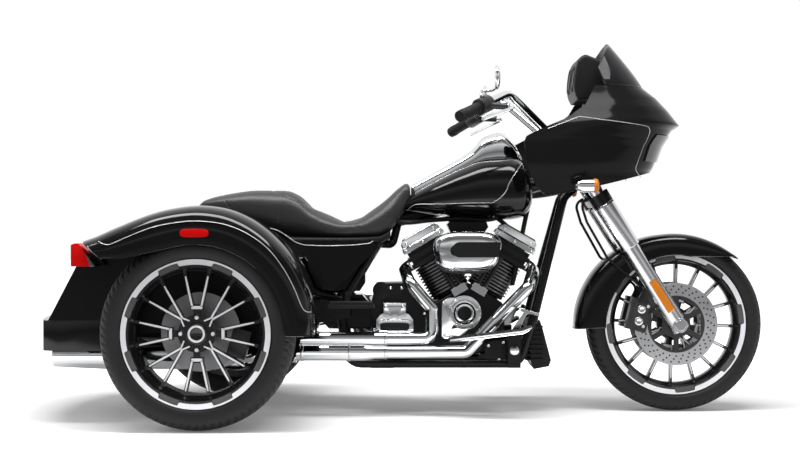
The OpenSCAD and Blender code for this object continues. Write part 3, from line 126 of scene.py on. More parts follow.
# Rings closed on themselves, with a fan of triangles at both ends
def ringParts(rings):
    m, n = rings.shape[:2]
    side = gridQuads(m, n, closeN=True)
    j = np.arange(n)
    j2 = (j + 1) % n
    ends = np.concatenate([np.stack([np.full(n, m * n), j, j2], -1),
                           np.stack([np.full(n, m * n + 1), (m - 1) * n + j2, (m - 1) * n + j], -1)])
    points = np.concatenate([rings.reshape(-1, 3), rings[0].mean(0)[None], rings[-1].mean(0)[None]])
    return points, [side, ends]


# Several meshes as one: points stacked, corners moved up by the points before them
def joinParts(parts):
    points, quads, tris, count = [], [], [], 0
    for p, f in parts:
        for block in (f if isinstance(f, list) else [f]):
            (quads if block.shape[1] == 4 else tris).append(block + count)
        points.append(p)
        count += len(p)
    faces = [np.concatenate(k) for k in (quads, tris) if k]
    return np.concatenate(points), faces


# One maker's parts for the right side and the left, as one mesh
def bothSides(maker):
    return joinParts([maker(side) for side in (-1, 1)])


# Rings of a tube along a path, turned along it without twist
def tubeParts(path, radius, sides=16):
    path = np.asarray(path, float)
    step = np.diff(path, axis=0)
    step /= np.linalg.norm(step, axis=1)[:, None]
    tangent = np.concatenate([step[:1], step[1:] + step[:-1], step[-1:]])
    tangent /= np.linalg.norm(tangent, axis=1)[:, None]
    across = np.array([0.13, 0.21, 0.97])
    frames = []
    for t in tangent:
        across = across - across.dot(t) * t
        across /= np.linalg.norm(across)
        frames.append((across, np.cross(t, across)))
    frames = np.array(frames)
    angle = fullTurn(sides)
    radius = np.broadcast_to(np.asarray(radius, float), (len(path),))
    ring = np.cos(angle)[None, :, None] * frames[:, None, 0] + np.sin(angle)[None, :, None] * frames[:, None, 1]
    return ringParts(path[:, None] + radius[:, None, None] * ring)


# Cubic from p to q over a step h, with the slopes at both ends, at share t
def cubic(p, q, slopeP, slopeQ, h, t):
    return (p * (1 + 2 * t) * (1 - t) ** 2 + slopeP * h * t * (1 - t) ** 2
            + q * t * t * (3 - 2 * t) + slopeQ * h * t * t * (t - 1))


# Cubic through rows of [x, value] with no overshoot: slopes are harmonic means of the neighbours
def smoothRows(rows, x):
    xs, ys = np.array(rows, float).T
    h = np.diff(xs)
    d = np.diff(ys) / h
    slope = np.zeros(len(xs))
    slope[0], slope[-1] = d[0], d[-1]
    same = d[1:] * d[:-1] > 0
    with np.errstate(divide="ignore", invalid="ignore"):
        slope[1:-1] = np.where(same, 2 * d[1:] * d[:-1] / (d[1:] + d[:-1]), 0)
    x = np.clip(np.asarray(x, float), xs[0], xs[-1])
    k = np.clip(np.searchsorted(xs, x) - 1, 0, len(h) - 1)
    t = (x - xs[k]) / h[k]
    return cubic(ys[k], ys[k + 1], slope[k], slope[k + 1], h[k], t)


def signPow(v, e):
    return np.sign(v) * np.abs(v) ** e


# Smooth path through points: cubics over the length of the chords, with slopes from the neighbours
def smoothPath(points, count):
    points = np.asarray(points, float)
    at = np.concatenate([[0], np.cumsum(np.linalg.norm(np.diff(points, axis=0), axis=1))])
    x = np.linspace(0, at[-1], count)
    slope = np.gradient(points, at, axis=0)
    k = np.clip(np.searchsorted(at, x) - 1, 0, len(at) - 2)
    h = (at[k + 1] - at[k])[:, None]
    t = ((x - at[k]) / h[:, 0])[:, None]
    return cubic(points[k], points[k + 1], slope[k], slope[k + 1], h, t)


# Turned shape: profile rows of [radius, height] about an axis, both ends closed
def turnedParts(centre, axis, profile, sides=24):
    axis = np.asarray(axis, float) / np.linalg.norm(axis)
    u = np.cross(axis, (0.31, 0.47, 0.83))
    u /= np.linalg.norm(u)
    v = np.cross(axis, u)
    angle = fullTurn(sides)
    spin = np.cos(angle)[:, None] * u + np.sin(angle)[:, None] * v
    profile = np.asarray(profile, float)
    rings = np.asarray(centre, float) + profile[:, 1, None, None] * axis + profile[:, 0, None, None] * spin[None]
    return ringParts(rings)


# Domed screw head standing on a face
def screwParts(centre, axis, r):
    profile = np.array([[1, 0], [1, 0.55], [0.82, 0.85], [0.5, 0.98], [0.42, 0.7], [0.001, 0.7]])
    return turnedParts(centre, axis, profile * r, 14)


# Band of a given width on a surface, along parameter pairs: the surface point moved out by lift, with its far side sunk
def stripeParts(surface, pairs, width, lift, side, step=1e-3):
    u, v = np.asarray(pairs, float).T
    du, dv = step * max(1, np.ptp(u)), step * max(1, np.ptp(v))
    point = surface(u, v)
    normal = np.cross(surface(u + du, v) - surface(u - du, v), surface(u, v + dv) - surface(u, v - dv))
    normal /= np.linalg.norm(normal, axis=1)[:, None]
    normal *= np.sign(normal[:, 1:2] * -1)
    along = np.gradient(point, axis=0)
    across = np.cross(normal, along / np.linalg.norm(along, axis=1)[:, None]) * width / 2
    outer = np.stack([point + normal * lift + across, point + normal * lift - across], 1)
    inner = np.stack([point - normal * lift + across, point - normal * lift - across], 1)
    flip = np.array([1, -side, 1])
    return facing(sheetParts(outer * flip, inner * flip), side < 0)


# Shader node groups. Each makes one effect for several materials.

def newGroup(name, inputs, outputs):
    group = bpy.data.node_groups.new(name, "ShaderNodeTree")
    for label, value in inputs.items():
        socket = group.interface.new_socket(name=label, in_out="INPUT", socket_type="NodeSocketFloat")
        socket.default_value = value
    for label in outputs:
        kind = "NodeSocketVector" if label == "Normal" else "NodeSocketFloat"
        group.interface.new_socket(name=label, in_out="OUTPUT", socket_type=kind)
    return group, group.nodes.new("NodeGroupInput"), group.nodes.new("NodeGroupOutput")


def addNode(tree, kind, links=(), **settings):
    node = tree.nodes.new(kind)
    for key, value in settings.items():
        if hasattr(node, key):
            setattr(node, key, value)
        else:
            node.inputs[key].default_value = value
    for source, target in links:
        tree.links.new(source, node.inputs[target])
    return node


def mathNode(tree, operation, a, b=None):
    node = tree.nodes.new("ShaderNodeMath")
    node.operation = operation
    for k, v in enumerate((a, b)):
        if v is None:
            continue
        if isinstance(v, (int, float)):
            node.inputs[k].default_value = v
        else:
            tree.links.new(v, node.inputs[k])
    return node.outputs[0]


# Mix of two numbers, or of two colours, where each is a value or a socket
def mixNode(tree, factor, a, b, colour=False):
    node = addNode(tree, "ShaderNodeMix", [(factor, 0)], data_type="RGBA" if colour else "FLOAT")
    for k, v in enumerate((a, b), 6 if colour else 2):
        if isinstance(v, bpy.types.NodeSocket):
            tree.links.new(v, node.inputs[k])
        else:
            node.inputs[k].default_value = (*v, 1) if colour else v
    return node.outputs[2 if colour else 0]


def rangeNode(tree, value, low, high, toLow=0.0, toHigh=1.0, kind="SMOOTHSTEP"):
    node = addNode(tree, "ShaderNodeMapRange", [(value, "Value")], interpolation_type=kind)
    for key, v in (("From Min", low), ("From Max", high), ("To Min", toLow), ("To Max", toHigh)):
        node.inputs[key].default_value = v
    return node.outputs[0]


# X, Y and Z of the place that a texture coordinate gives
def placeOf(tree, coord="Object"):
    return addNode(tree, "ShaderNodeSeparateXYZ", [(addNode(tree, "ShaderNodeTexCoord").outputs[coord], 0)]).outputs


def groupNode(tree, group, links=(), **values):
    node = addNode(tree, "ShaderNodeGroup", links, node_tree=group)
    for key, value in values.items():
        node.inputs[key.replace("_", " ")].default_value = value
    return node.outputs


# Grain: fine noise as bump, with a slow change of roughness
def makeGrain():
    inputs = {"Scale": 900.0, "Strength": 0.1, "Depth": 0.0002, "Roughness": 0.4, "Spread": 0.1, "Edge": 0.0015}
    group, gin, gout = newGroup("surfaceGrain", inputs, ["Normal", "Roughness", "Mask"])
    coord = addNode(group, "ShaderNodeTexCoord")
    fine = addNode(group, "ShaderNodeTexNoise", [(coord.outputs["Object"], "Vector"), (gin.outputs["Scale"], "Scale")], Detail=3.0)
    slow = addNode(group, "ShaderNodeTexNoise", [(coord.outputs["Object"], "Vector")], Scale=9.0, Detail=4.0)
    soft = addNode(group, "ShaderNodeBevel", [(gin.outputs["Edge"], "Radius")], samples=4)
    bump = addNode(group, "ShaderNodeBump", [(fine.outputs[0], "Height"), (gin.outputs["Strength"], "Strength"),
                                             (gin.outputs["Depth"], "Distance"), (soft.outputs[0], "Normal")])
    shift = mathNode(group, "MULTIPLY", mathNode(group, "SUBTRACT", slow.outputs[0], 0.5), gin.outputs["Spread"])
    group.links.new(bump.outputs[0], gout.inputs["Normal"])
    group.links.new(mathNode(group, "ADD", shift, gin.outputs["Roughness"]), gout.inputs["Roughness"])
    group.links.new(slow.outputs[0], gout.inputs["Mask"])
    return group


# Leather: voronoi cells of two sizes for the pebbled grain, and the share out from the cells' edges, with which the
# leather material paints shade into the creases
def makeLeather():
    group, gin, gout = newGroup("leatherGrain", {"Scale": 420.0, "Strength": 0.35}, ["Normal", "creaseShade"])
    coord = addNode(group, "ShaderNodeTexCoord")
    cells = addNode(group, "ShaderNodeTexVoronoi", [(coord.outputs["Object"], "Vector"), (gin.outputs["Scale"], "Scale")],
                    feature="DISTANCE_TO_EDGE")
    crease = addNode(group, "ShaderNodeTexNoise", [(coord.outputs["Object"], "Vector")], Scale=160.0, Detail=4.0)
    height = mathNode(group, "ADD", mathNode(group, "MINIMUM", cells.outputs[0], 0.22),
                      mathNode(group, "MULTIPLY", crease.outputs[0], 0.25))
    bump = addNode(group, "ShaderNodeBump", [(height, "Height"), (gin.outputs["Strength"], "Strength")], Distance=0.0012)
    group.links.new(bump.outputs[0], gout.inputs["Normal"])
    # Share out from the cells' edges: 0 in the creases, 1 inside the cells; carries the painted shade of the creases
    group.links.new(mathNode(group, "MINIMUM", mathNode(group, "MULTIPLY", cells.outputs[0], 4.0), 1.0), gout.inputs["creaseShade"])
    return group


# Band: 1 where a value lies between two limits
def makeBand():
    group, gin, gout = newGroup("bandMask", {"Value": 0.0, "Low": 0.0, "High": 1.0}, ["Inside"])
    above = mathNode(group, "GREATER_THAN", gin.outputs["Value"], gin.outputs["Low"])
    below = mathNode(group, "LESS_THAN", gin.outputs["Value"], gin.outputs["High"])
    group.links.new(mathNode(group, "MULTIPLY", above, below), gout.inputs["Inside"])
    return group


# Polar place about an axle along Y: radius, angle and distance from the middle plane
def makePolar():
    group, gin, gout = newGroup("axlePolar", {"Axle X": 0.0, "Axle Z": 0.0}, ["Radius", "Angle", "Across"])
    place = placeOf(group)
    x = mathNode(group, "SUBTRACT", place[0], gin.outputs["Axle X"])
    z = mathNode(group, "SUBTRACT", place[2], gin.outputs["Axle Z"])
    square = mathNode(group, "ADD", mathNode(group, "MULTIPLY", x, x), mathNode(group, "MULTIPLY", z, z))
    group.links.new(mathNode(group, "SQRT", square), gout.inputs["Radius"])
    group.links.new(mathNode(group, "ARCTAN2", z, x), gout.inputs["Angle"])
    group.links.new(mathNode(group, "ABSOLUTE", place[1]), gout.inputs["Across"])
    return group


# Place in the V engine: along the cylinder of the nearer bank, out from the V's middle, and radius about that cylinder
def makeBank():
    group, gin, gout = newGroup("engineBank", {"Crank X": 0.0, "Crank Z": 0.0, "Lean": 0.5}, ["Along", "Out", "Radius"])
    place = placeOf(group)
    x = mathNode(group, "ABSOLUTE", mathNode(group, "SUBTRACT", place[0], gin.outputs["Crank X"]))
    z = mathNode(group, "SUBTRACT", place[2], gin.outputs["Crank Z"])
    s, c = mathNode(group, "SINE", gin.outputs["Lean"]), mathNode(group, "COSINE", gin.outputs["Lean"])
    along = mathNode(group, "ADD", mathNode(group, "MULTIPLY", x, s), mathNode(group, "MULTIPLY", z, c))
    out = mathNode(group, "SUBTRACT", mathNode(group, "MULTIPLY", x, c), mathNode(group, "MULTIPLY", z, s))
    square = mathNode(group, "ADD", mathNode(group, "MULTIPLY", out, out), mathNode(group, "MULTIPLY", place[1], place[1]))
    for value, label in ((along, "Along"), (out, "Out"), (mathNode(group, "SQRT", square), "Radius")):
        group.links.new(value, gout.inputs[label])
    return group


grain = makeGrain()
engineBank = makeBank()
leatherGrain = makeLeather()
bandMask = makeBand()
axlePolar = makePolar()


def newMaterial(name, **values):
    material = bpy.data.materials.new(name)
    material.use_nodes = True
    shader = material.node_tree.nodes["Principled BSDF"]
    for key, value in values.items():
        shader.inputs[key.replace("_", " ")].default_value = value
    return material, material.node_tree, shader


# A material with the grain group on its normal and roughness, and two colours mixed by the group's mask
def grainMaterial(name, dark, light, scale, strength, depth, roughness, spread, **values):
    material, tree, shader = newMaterial(name, **values)
    g = groupNode(tree, grain, Scale=scale, Strength=strength, Depth=depth, Roughness=roughness, Spread=spread)
    tree.links.new(mixNode(tree, g["Mask"], dark, light, True), shader.inputs["Base Color"])
    for socket in ("Roughness", "Normal"):
        tree.links.new(g[socket], shader.inputs[socket])
    return material


# A second finish where a mask is 1: its colour, roughness and metal mixed over the first
def overlayFinish(material, mask, colour, roughness, metallic):
    tree = material.node_tree
    shader = tree.nodes["Principled BSDF"]
    for socket, value in (("Roughness", roughness), ("Metallic", metallic)):
        link = shader.inputs[socket].links
        first = link[0].from_socket if link else shader.inputs[socket].default_value
        tree.links.new(mixNode(tree, mask, first, value), shader.inputs[socket])
    base = shader.inputs["Base Color"]
    tree.links.new(mixNode(tree, mask, base.links[0].from_socket, colour, True), base)


def bandOf(tree, value, low, high):
    return groupNode(tree, bandMask, [(value, "Value")], Low=low, High=high)[0]


def polarOf(tree, x, z):
    return groupNode(tree, axlePolar, Axle_X=x, Axle_Z=z)


grey = lambda v: (v, v, v * 1.03)
paint = grainMaterial("paintBlack", grey(0.0022), grey(0.0036), 260.0, 0.03, 0.0002, 0.1, 0.04,
                      Specular_IOR_Level=0.3)
# The fairing is the same black paint as the tank and fenders; its lighter colour is a painted sheen, standing in for
# the reflection that its low specular leaves out
fairingSheenPaint = grainMaterial("paintFairingSheen", grey(0.0070), grey(0.0090), 260.0, 0.03, 0.0002, 0.1, 0.04,
                             Specular_IOR_Level=0.06)
frameBlack = grainMaterial("frameBlack", grey(0.003), grey(0.006), 500.0, 0.1, 0.0003, 0.26, 0.12, Specular_IOR_Level=0.2)
engineBlack = grainMaterial("engineBlack", grey(0.003), grey(0.006), 700.0, 0.5, 0.0004, 0.42, 0.15, Specular_IOR_Level=0.2)
chrome = grainMaterial("chrome", (0.72, 0.73, 0.75), (0.86, 0.87, 0.88), 40.0, 0.03, 0.0004, 0.07, 0.05, Metallic=1.0)
satinChrome = grainMaterial("satinChrome", grey(0.66), grey(0.76), 400.0, 0.04, 0.0003, 0.2, 0.08, Metallic=1.0)
darkAlloy = grainMaterial("darkAlloy", grey(0.03), grey(0.05), 800.0, 0.15, 0.0002, 0.4, 0.15, Metallic=0.6)
plasticBlack = grainMaterial("plasticBlack", grey(0.004), grey(0.008), 1400.0, 0.3, 0.0002, 0.45, 0.1, Specular_IOR_Level=0.2)
rubber = grainMaterial("rubberBlack", grey(0.006), grey(0.011), 900.0, 0.35, 0.0003, 0.6, 0.12, Specular_IOR_Level=0.2)
silverPaint = grainMaterial("silverPaint", grey(0.42), grey(0.55), 900.0, 0.05, 0.0002, 0.3, 0.1, Metallic=0.7)
redLens = grainMaterial("redLens", (0.46, 0.002, 0.002), (0.62, 0.004, 0.004), 120.0, 0.25, 0.0006, 0.14, 0.05, Specular_IOR_Level=0.1)
amberLens = grainMaterial("amberLens", (0.46, 0.12, 0.006), (0.6, 0.2, 0.012), 120.0, 0.25, 0.0006, 0.16, 0.05, Specular_IOR_Level=0.2)
clearLens = grainMaterial("clearLens", grey(0.015), grey(0.03), 60.0, 0.2, 0.0006, 0.08, 0.04, Specular_IOR_Level=0.3)
mirrorGlass = grainMaterial("mirrorGlass", grey(0.75), grey(0.85), 30.0, 0.01, 0.0002, 0.02, 0.01, Metallic=1.0)
pocketGrey = grainMaterial("pocketGrey", grey(0.06), grey(0.09), 900.0, 0.1, 0.0002, 0.4, 0.1, Metallic=0.3)


def makeScreen():
    material, tree, shader = newMaterial("screenTint", Roughness=0.03, Alpha=0.8, Specular_IOR_Level=0.12)
    height = rangeNode(tree, placeOf(tree)[2], 1.17, 1.34, kind="LINEAR")
    shade = mixNode(tree, height, (0.006, 0.006, 0.007), (0.03, 0.03, 0.033), True)
    tree.links.new(shade, shader.inputs["Base Color"])
    return material


def makeLeatherMaterial():
    material, tree, shader = newMaterial("leatherBlack", Roughness=0.46, Sheen_Weight=0.05)
    g = groupNode(tree, leatherGrain)
    # Painted shade: the creases of the grain are coloured darker than the cells between them
    shade = mixNode(tree, g["creaseShade"], (0.006, 0.006, 0.006), (0.015, 0.0145, 0.0145), True)
    tree.links.new(shade, shader.inputs["Base Color"])
    tree.links.new(g["Normal"], shader.inputs["Normal"])
    return material


engine = {"crankX": 0.2235, "crankZ": 0.332, "lean": math.radians(30), "finR": 0.078}


def bankOf(tree):
    return groupNode(tree, engineBank, Crank_X=engine["crankX"], Crank_Z=engine["crankZ"], Lean=engine["lean"])


# Cylinders: black, with the fins' edges cut bright
def makeFinMaterial():
    material = grainMaterial("finBlack", grey(0.003), grey(0.006), 700.0, 0.4, 0.0004, 0.4, 0.15, Specular_IOR_Level=0.2)
    tree = material.node_tree
    bank = bankOf(tree)
    edge = mathNode(tree, "MULTIPLY", bandOf(tree, bank["Radius"], engine["finR"] - 0.0022, 0.2),
                    bandOf(tree, bank["Along"], 0.120, 0.2555))
    overlayFinish(material, edge, grey(0.16), 0.34, 0.8)
    return material


# Pushrod tubes: black, on chrome blocks
def makePushrodMaterial():
    material = grainMaterial("pushrodBlack", grey(0.004), grey(0.008), 700.0, 0.05, 0.0003, 0.3, 0.1)
    tree = material.node_tree
    overlayFinish(material, bandOf(tree, bankOf(tree)["Along"], 0.0, 0.1335), grey(0.8), 0.1, 1.0)
    return material


# Rear lamps: red, with a grey facet at the front of the two that stand behind the fenders
def greyLampFacet():
    tree = redLens.node_tree
    place = placeOf(tree)
    slope = mathNode(tree, "ADD", place[0], mathNode(tree, "MULTIPLY", place[2], 0.3077))
    overlayFinish(redLens, bandOf(tree, slope, -0.8795, -0.75), grey(0.16), 0.2, 0.8)


# Wheels: gloss black, with plain steel on the rear brake discs that share the node
def makeWheelMaterial():
    material = grainMaterial("wheelBlack", grey(0.005), grey(0.008), 300.0, 0.05, 0.0003, 0.2, 0.08)
    tree = material.node_tree
    polar = polarOf(tree, stance["rearX"], stance["rearR"])
    disc = mathNode(tree, "MULTIPLY", bandOf(tree, polar["Across"], 0.526, 0.533), bandOf(tree, polar["Radius"], 0.047, 0.134))
    overlayFinish(material, disc, grey(0.28), 0.36, 0.9)
    return material


# Front discs: black carrier inside, drilled steel ring outside; holes repeat by angle in three rows
def makeDiscMaterial():
    material = grainMaterial("discSteel", grey(0.36), grey(0.5), 1200.0, 0.15, 0.0002, 0.3, 0.12, Metallic=0.9)
    tree = material.node_tree
    polar = polarOf(tree, stance["frontX"], stance["frontR"])
    holes = None
    for row, shift in ((0.116, 0.0), (0.127, 0.33), (0.138, 0.66)):
        turn = mathNode(tree, "FRACT", mathNode(tree, "ADD", mathNode(tree, "MULTIPLY", polar["Angle"], 30 / (2 * math.pi)), shift + 40))
        u = mathNode(tree, "MULTIPLY", mathNode(tree, "SUBTRACT", turn, 0.5), 2 * math.pi * row / 30)
        v = mathNode(tree, "SUBTRACT", polar["Radius"], row)
        away = mathNode(tree, "SQRT", mathNode(tree, "ADD", mathNode(tree, "MULTIPLY", u, u), mathNode(tree, "MULTIPLY", v, v)))
        hole = mathNode(tree, "LESS_THAN", away, 0.0034)
        holes = hole if holes is None else mathNode(tree, "MAXIMUM", holes, hole)
    dark = mathNode(tree, "MAXIMUM", holes, bandOf(tree, polar["Radius"], 0.0, 0.104))
    overlayFinish(material, dark, grey(0.012), 0.4, 0.0)
    return material


# Air cleaner: chrome cover on a black base
def makeCleanerMaterial():
    material = grainMaterial("cleanerChrome", grey(0.74), grey(0.86), 40.0, 0.03, 0.0004, 0.07, 0.05, Metallic=1.0)
    tree = material.node_tree
    overlayFinish(material, bandOf(tree, polarOf(tree, 0, 0)["Across"], 0.0, 0.1801), grey(0.012), 0.4, 0.0)
    return material


# Tyre: rubber with fine ribs on the wall, from the share of the way across that the mesh carries
def makeTyreMaterial():
    material = grainMaterial("tyreRubber", grey(0.006), grey(0.011), 1500.0, 0.2, 0.0003, 0.55, 0.12, Specular_IOR_Level=0.3)
    tree = material.node_tree
    share = addNode(tree, "ShaderNodeAttribute", attribute_name="wallShare")
    wave = mathNode(tree, "SINE", mathNode(tree, "MULTIPLY", share.outputs["Fac"], 75.0))
    wall = mathNode(tree, "MULTIPLY", mathNode(tree, "GREATER_THAN", wave, 0.55), bandOf(tree, share.outputs["Fac"], 0.16, 0.52))
    bump = addNode(tree, "ShaderNodeBump", [(wall, "Height")], Strength=0.5, Distance=0.0012)
    shader = tree.nodes["Principled BSDF"]
    tree.links.new(shader.inputs["Normal"].links[0].from_socket, bump.inputs["Normal"])
    tree.links.new(bump.outputs[0], shader.inputs["Normal"])
    return material


screenTint = makeScreen()
leather = makeLeatherMaterial()
wheelBlack = makeWheelMaterial()
discSteel = makeDiscMaterial()
cleanerChrome = makeCleanerMaterial()
finBlack = makeFinMaterial()
pushrodBlack = makePushrodMaterial()
greyLampFacet()
tyreRubber = makeTyreMaterial()
cutFace = grainMaterial("cutFace", grey(0.74), grey(0.84), 1500.0, 0.06, 0.0002, 0.32, 0.08, Metallic=0.4)
print("trike: materials made")

# Rounding of the edges of cast and pressed CAD nodes, in mm
roundings = {"rocker_covers": 7.0, "cam_cover": 3.5, "gearbox_cover": 5.0, "primary_cover": 7.0, "crankcase": 5.0, "gearbox": 5.0,
             "rear_bumper": 8.0, "rear_lamps": 3.0, "front_calipers": 3.0, "rear_calipers": 3.0, "hand_controls": 3.0}

# Material of each CAD node that stays in view
nodeMaterials = {
    frameBlack: ["frame", "steering_head", "swingarm", "triple_clamps", "fairing_bracket", "rear_axle", "shock_absorbers"],
    paint: ["side_covers", "trunk", "trunk_lid", "rear_bumper"],
    engineBlack: ["crankcase", "gearbox"],
    finBlack: ["cylinders"],
    pushrodBlack: ["pushrods"],
    chrome: ["rocker_covers", "cam_cover", "gearbox_cover", "primary_cover", "exhaust_headers", "collector",
             "mufflers", "front_axle", "handlebar", "levers", "mirrors", "turn_signals", "brake_pedal", "shift_lever"],
    satinChrome: ["fork_legs"],
    cleanerChrome: ["air_cleaner"],
    darkAlloy: ["rear_calipers", "front_calipers", "hand_controls"],
    wheelBlack: ["wheel_front", "wheel_rear_right", "wheel_rear_left"],
    discSteel: ["discs_front"],
    plasticBlack: ["air_cleaner_insert", "dash", "oil_cooler"],
    rubber: ["footboards", "passenger_boards", "grips", "brake_hoses", "belt_drive"],
    redLens: ["rear_lamps"],
    clearLens: ["headlamps"],
}
for material, names in nodeMaterials.items():
    for name in names:
        obj = nodes[name]
        obj.data.materials.clear()
        obj.data.materials.append(material)
        obj.data.polygons.foreach_set("material_index", np.zeros(len(obj.data.polygons), int))
        obj.data.polygons.foreach_set("use_smooth", np.ones(len(obj.data.polygons), bool))
        if "custom_normal" in obj.data.attributes:
            obj.data.attributes.remove(obj.data.attributes["custom_normal"])
        weld = obj.modifiers.new("weld", "WELD")
        weld.merge_threshold = 2e-5
        if name in roundings:
            bevel = obj.modifiers.new("rounding", "BEVEL")
            bevel.width, bevel.segments = roundings[name] / 1000, 3
            bevel.limit_method, bevel.angle_limit = "ANGLE", math.radians(32)
        split = obj.modifiers.new("split", "EDGE_SPLIT")
        split.split_angle = math.radians(32)
print("trike: CAD nodes dressed")

# Fairing, by height: rows of [mm above the ground, mm from the front axle], the CAD model's own tables
fairing = {
    "nose": [[783, -82], [868, -92], [882, -82], [900, -74], [960, -52], [1021, -12], [1040, 17], [1090, -22], [1137, -66], [1176, -118]],
    "edge": [[783, -498], [808, -525], [853, -551], [906, -569], [970, -574], [987, -567], [1012, -518], [1051, -425],
             [1102, -355], [1163, -321], [1176, -314]],
    "side": [[783, 296], [850, 326], [910, 346], [970, 350], [1020, 340], [1080, 300], [1130, 266], [1176, 244]],
    "top": 1174, "low": 783, "rise": 88, "wall": 5, "across": 121, "up": 90}


# Point at angle a round the nose and height z: a half superellipse from the rear edge to the nose, moved in by t
def fairingAt(a, z, t=0.0):
    back = stance["frontX"] * 1000 + np.interp(z, *np.array(fairing["edge"]).T)
    nose = stance["frontX"] * 1000 + np.interp(z, *np.array(fairing["nose"]).T)
    half = smoothRows(fairing["side"], z)
    return np.stack([back + (nose - t - back) * signPow(np.cos(a), 0.92), (half - t) * signPow(np.sin(a), 0.86), z + 0 * a], -1) / 1000


def fairingGrid(t, a, f):
    a, f = np.meshgrid(a, f, indexing="xy")
    low = fairing["low"] + fairing["rise"] * np.clip(np.cos(a), 0, 1) ** 1.3
    return fairingAt(a, low + (fairing["top"] - low) * f, t)


noseAngles = np.radians(90) * np.sin(np.linspace(-np.pi / 2, np.pi / 2, fairing["across"]))
riseSteps = np.linspace(0, 1, fairing["up"])
shell = sheetParts(fairingGrid(0, noseAngles, riseSteps), fairingGrid(fairing["wall"], noseAngles, riseSteps))
fairingObject = meshObject("fairingShell", *shell, fairingSheenPaint, "chassis")
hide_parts("fairing")

# Windscreen: the fairing's top edge drawn up and back, highest at the middle
screen = {"rise": 145.6, "edgeRise": 22, "lean": 128, "narrow": 0.22, "wall": 4, "gap": 0.3, "across": 91, "up": 40}


def screenGrid(t):
    a, f = np.meshgrid(np.radians(np.linspace(-82, 82, screen["across"])), np.linspace(0, 1, screen["up"]), indexing="xy")
    base = fairingAt(a, np.full(a.shape, float(fairing["top"])), 1 + t) * 1000
    rise = screen["edgeRise"] + screen["rise"] * np.cos(a) ** 0.6
    return np.stack([base[..., 0] - screen["lean"] * f ** 1.15 * np.cos(a), base[..., 1] * (1 - screen["narrow"] * f),
                     fairing["top"] + screen["gap"] + rise * f], -1) / 1000


screenObject = meshObject("windscreenPane", *sheetParts(screenGrid(0), screenGrid(screen["wall"])), screenTint, "chassis")
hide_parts("windscreen")
print("trike: fairing and windscreen made")

# Tank and console: rows of [mm ahead of the rear axle, half width, bottom, top], rounded sections
tank = {
    "rows": [[658, 62, 731, 757], [722, 100, 722, 802], [802, 135, 714, 848], [892, 158, 706, 893], [982, 170, 699, 926],
             [1062, 172, 698, 931], [1107, 160, 703, 915], [1132, 135, 722, 882], [1144, 100, 745, 850]],
    "power": 0.72, "along": 90, "round": 96}
console = {
    "rows": [[706, 26, 770, 824], [772, 40, 800, 862], [852, 52, 840, 906], [927, 62, 880, 952], [977, 72, 890, 1003],
             [1037, 74, 895, 1018], [1067, 70, 890, 996], [1092, 62, 880, 965], [1114, 50, 860, 930]],
    "power": 0.62, "along": 80, "round": 72}


# Point of a loft at x and angle a: y and z follow cosine and sine raised to a power, a superellipse
def loftAt(spec, x, a):
    rows = np.array(spec["rows"], float)
    half, low, high = (smoothRows(rows[:, [0, k]], x) for k in (1, 2, 3))
    y = half * signPow(np.cos(a), spec["power"])
    z = (low + high) / 2 + (high - low) / 2 * signPow(np.sin(a), spec["power"])
    return np.stack([np.broadcast_to(x, y.shape) + stance["rearX"] * 1000, y, z], -1) / 1000


def loftRings(spec):
    x = np.linspace(spec["rows"][0][0], spec["rows"][-1][0], spec["along"])
    return loftAt(spec, x[:, None], fullTurn(spec["round"]))


tankObject = meshObject("fuelTankShell", *ringParts(loftRings(tank)), paint, "chassis")
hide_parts("fuel_tank")
consoleObject = meshObject("tankConsoleShell", *ringParts(loftRings(console)), chrome, "chassis")
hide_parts("tank_console")
print("trike: tank and console made")

# Rear fender: rows of [degrees about the axle, crown radius, lip radius], with the section across it
fender = {
    "rows": [[-1, 390, 296], [8, 394, 294], [18, 398, 292], [28, 401, 292], [38, 404, 292], [48, 407, 292], [58, 413, 292],
             [68, 418, 292], [78, 421, 292], [88, 421, 292], [97, 420, 292], [99.6, 420, 292], [108, 422, 293], [116, 426, 300],
             [123, 433, 312], [130, 446, 330], [136, 462, 355], [141, 484, 390]],
    "share": [0.84, 0.95, 0.995, 1, 0.97, 0.90, 0.78, 0.60, 0.38, 0.18, 0],
    "trunkY": 430.5, "seatY": 172, "sideY": 698, "wall": 6, "along": 150, "across": 70}


def fenderGrid(t):
    rows = np.array(fender["rows"], float)
    # The same angles as the table where the inner edge steps, and even ones elsewhere
    a = np.unique(np.concatenate([np.linspace(-1, 97, fender["along"] * 2 // 3), np.linspace(99.6, 141, fender["along"] // 3)]))
    crown, lip = smoothRows(rows[:, :2], a), smoothRows(rows[:, [0, 2]], a)
    inner = np.where(a > 99, fender["trunkY"], fender["seatY"])
    side = fender["sideY"]
    share = np.array(fender["share"])
    at = np.linspace(0, 1, fender["across"]) * (len(share) - 1)
    place = np.arange(len(share))
    c = smoothRows(np.stack([place, share], -1), at)
    grid = []
    for angle, high, low, y0 in zip(np.radians(a), crown, lip, inner):
        across = [y0, y0 + (560 - y0) * 0.4, y0 + (560 - y0) * 0.75, 575, 620, 654, 678, 692, side, side, side - 2]
        y = smoothRows(np.stack([place, across], -1), at)
        r = low + (high - low) * c
        flank = np.clip((y - 600) / 90, 0, 1)
        q = r - t * (1 - flank)
        grid.append(np.stack([stance["rearX"] * 1000 + q * np.cos(angle), y - t * flank, stance["rearR"] * 1000 + q * np.sin(angle)], -1))
    return np.array(grid) / 1000


leftOuter, leftInner = fenderGrid(0), fenderGrid(fender["wall"])
for side, label in ((1, "left"), (-1, "right")):
    flip = np.array([1, side, 1])
    parts = facing(sheetParts(leftOuter * flip, leftInner * flip), side > 0)
    obj = meshObject("fenderRear" + label.capitalize(), *parts, paint, "chassis")
    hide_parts("fender_rear_" + label)

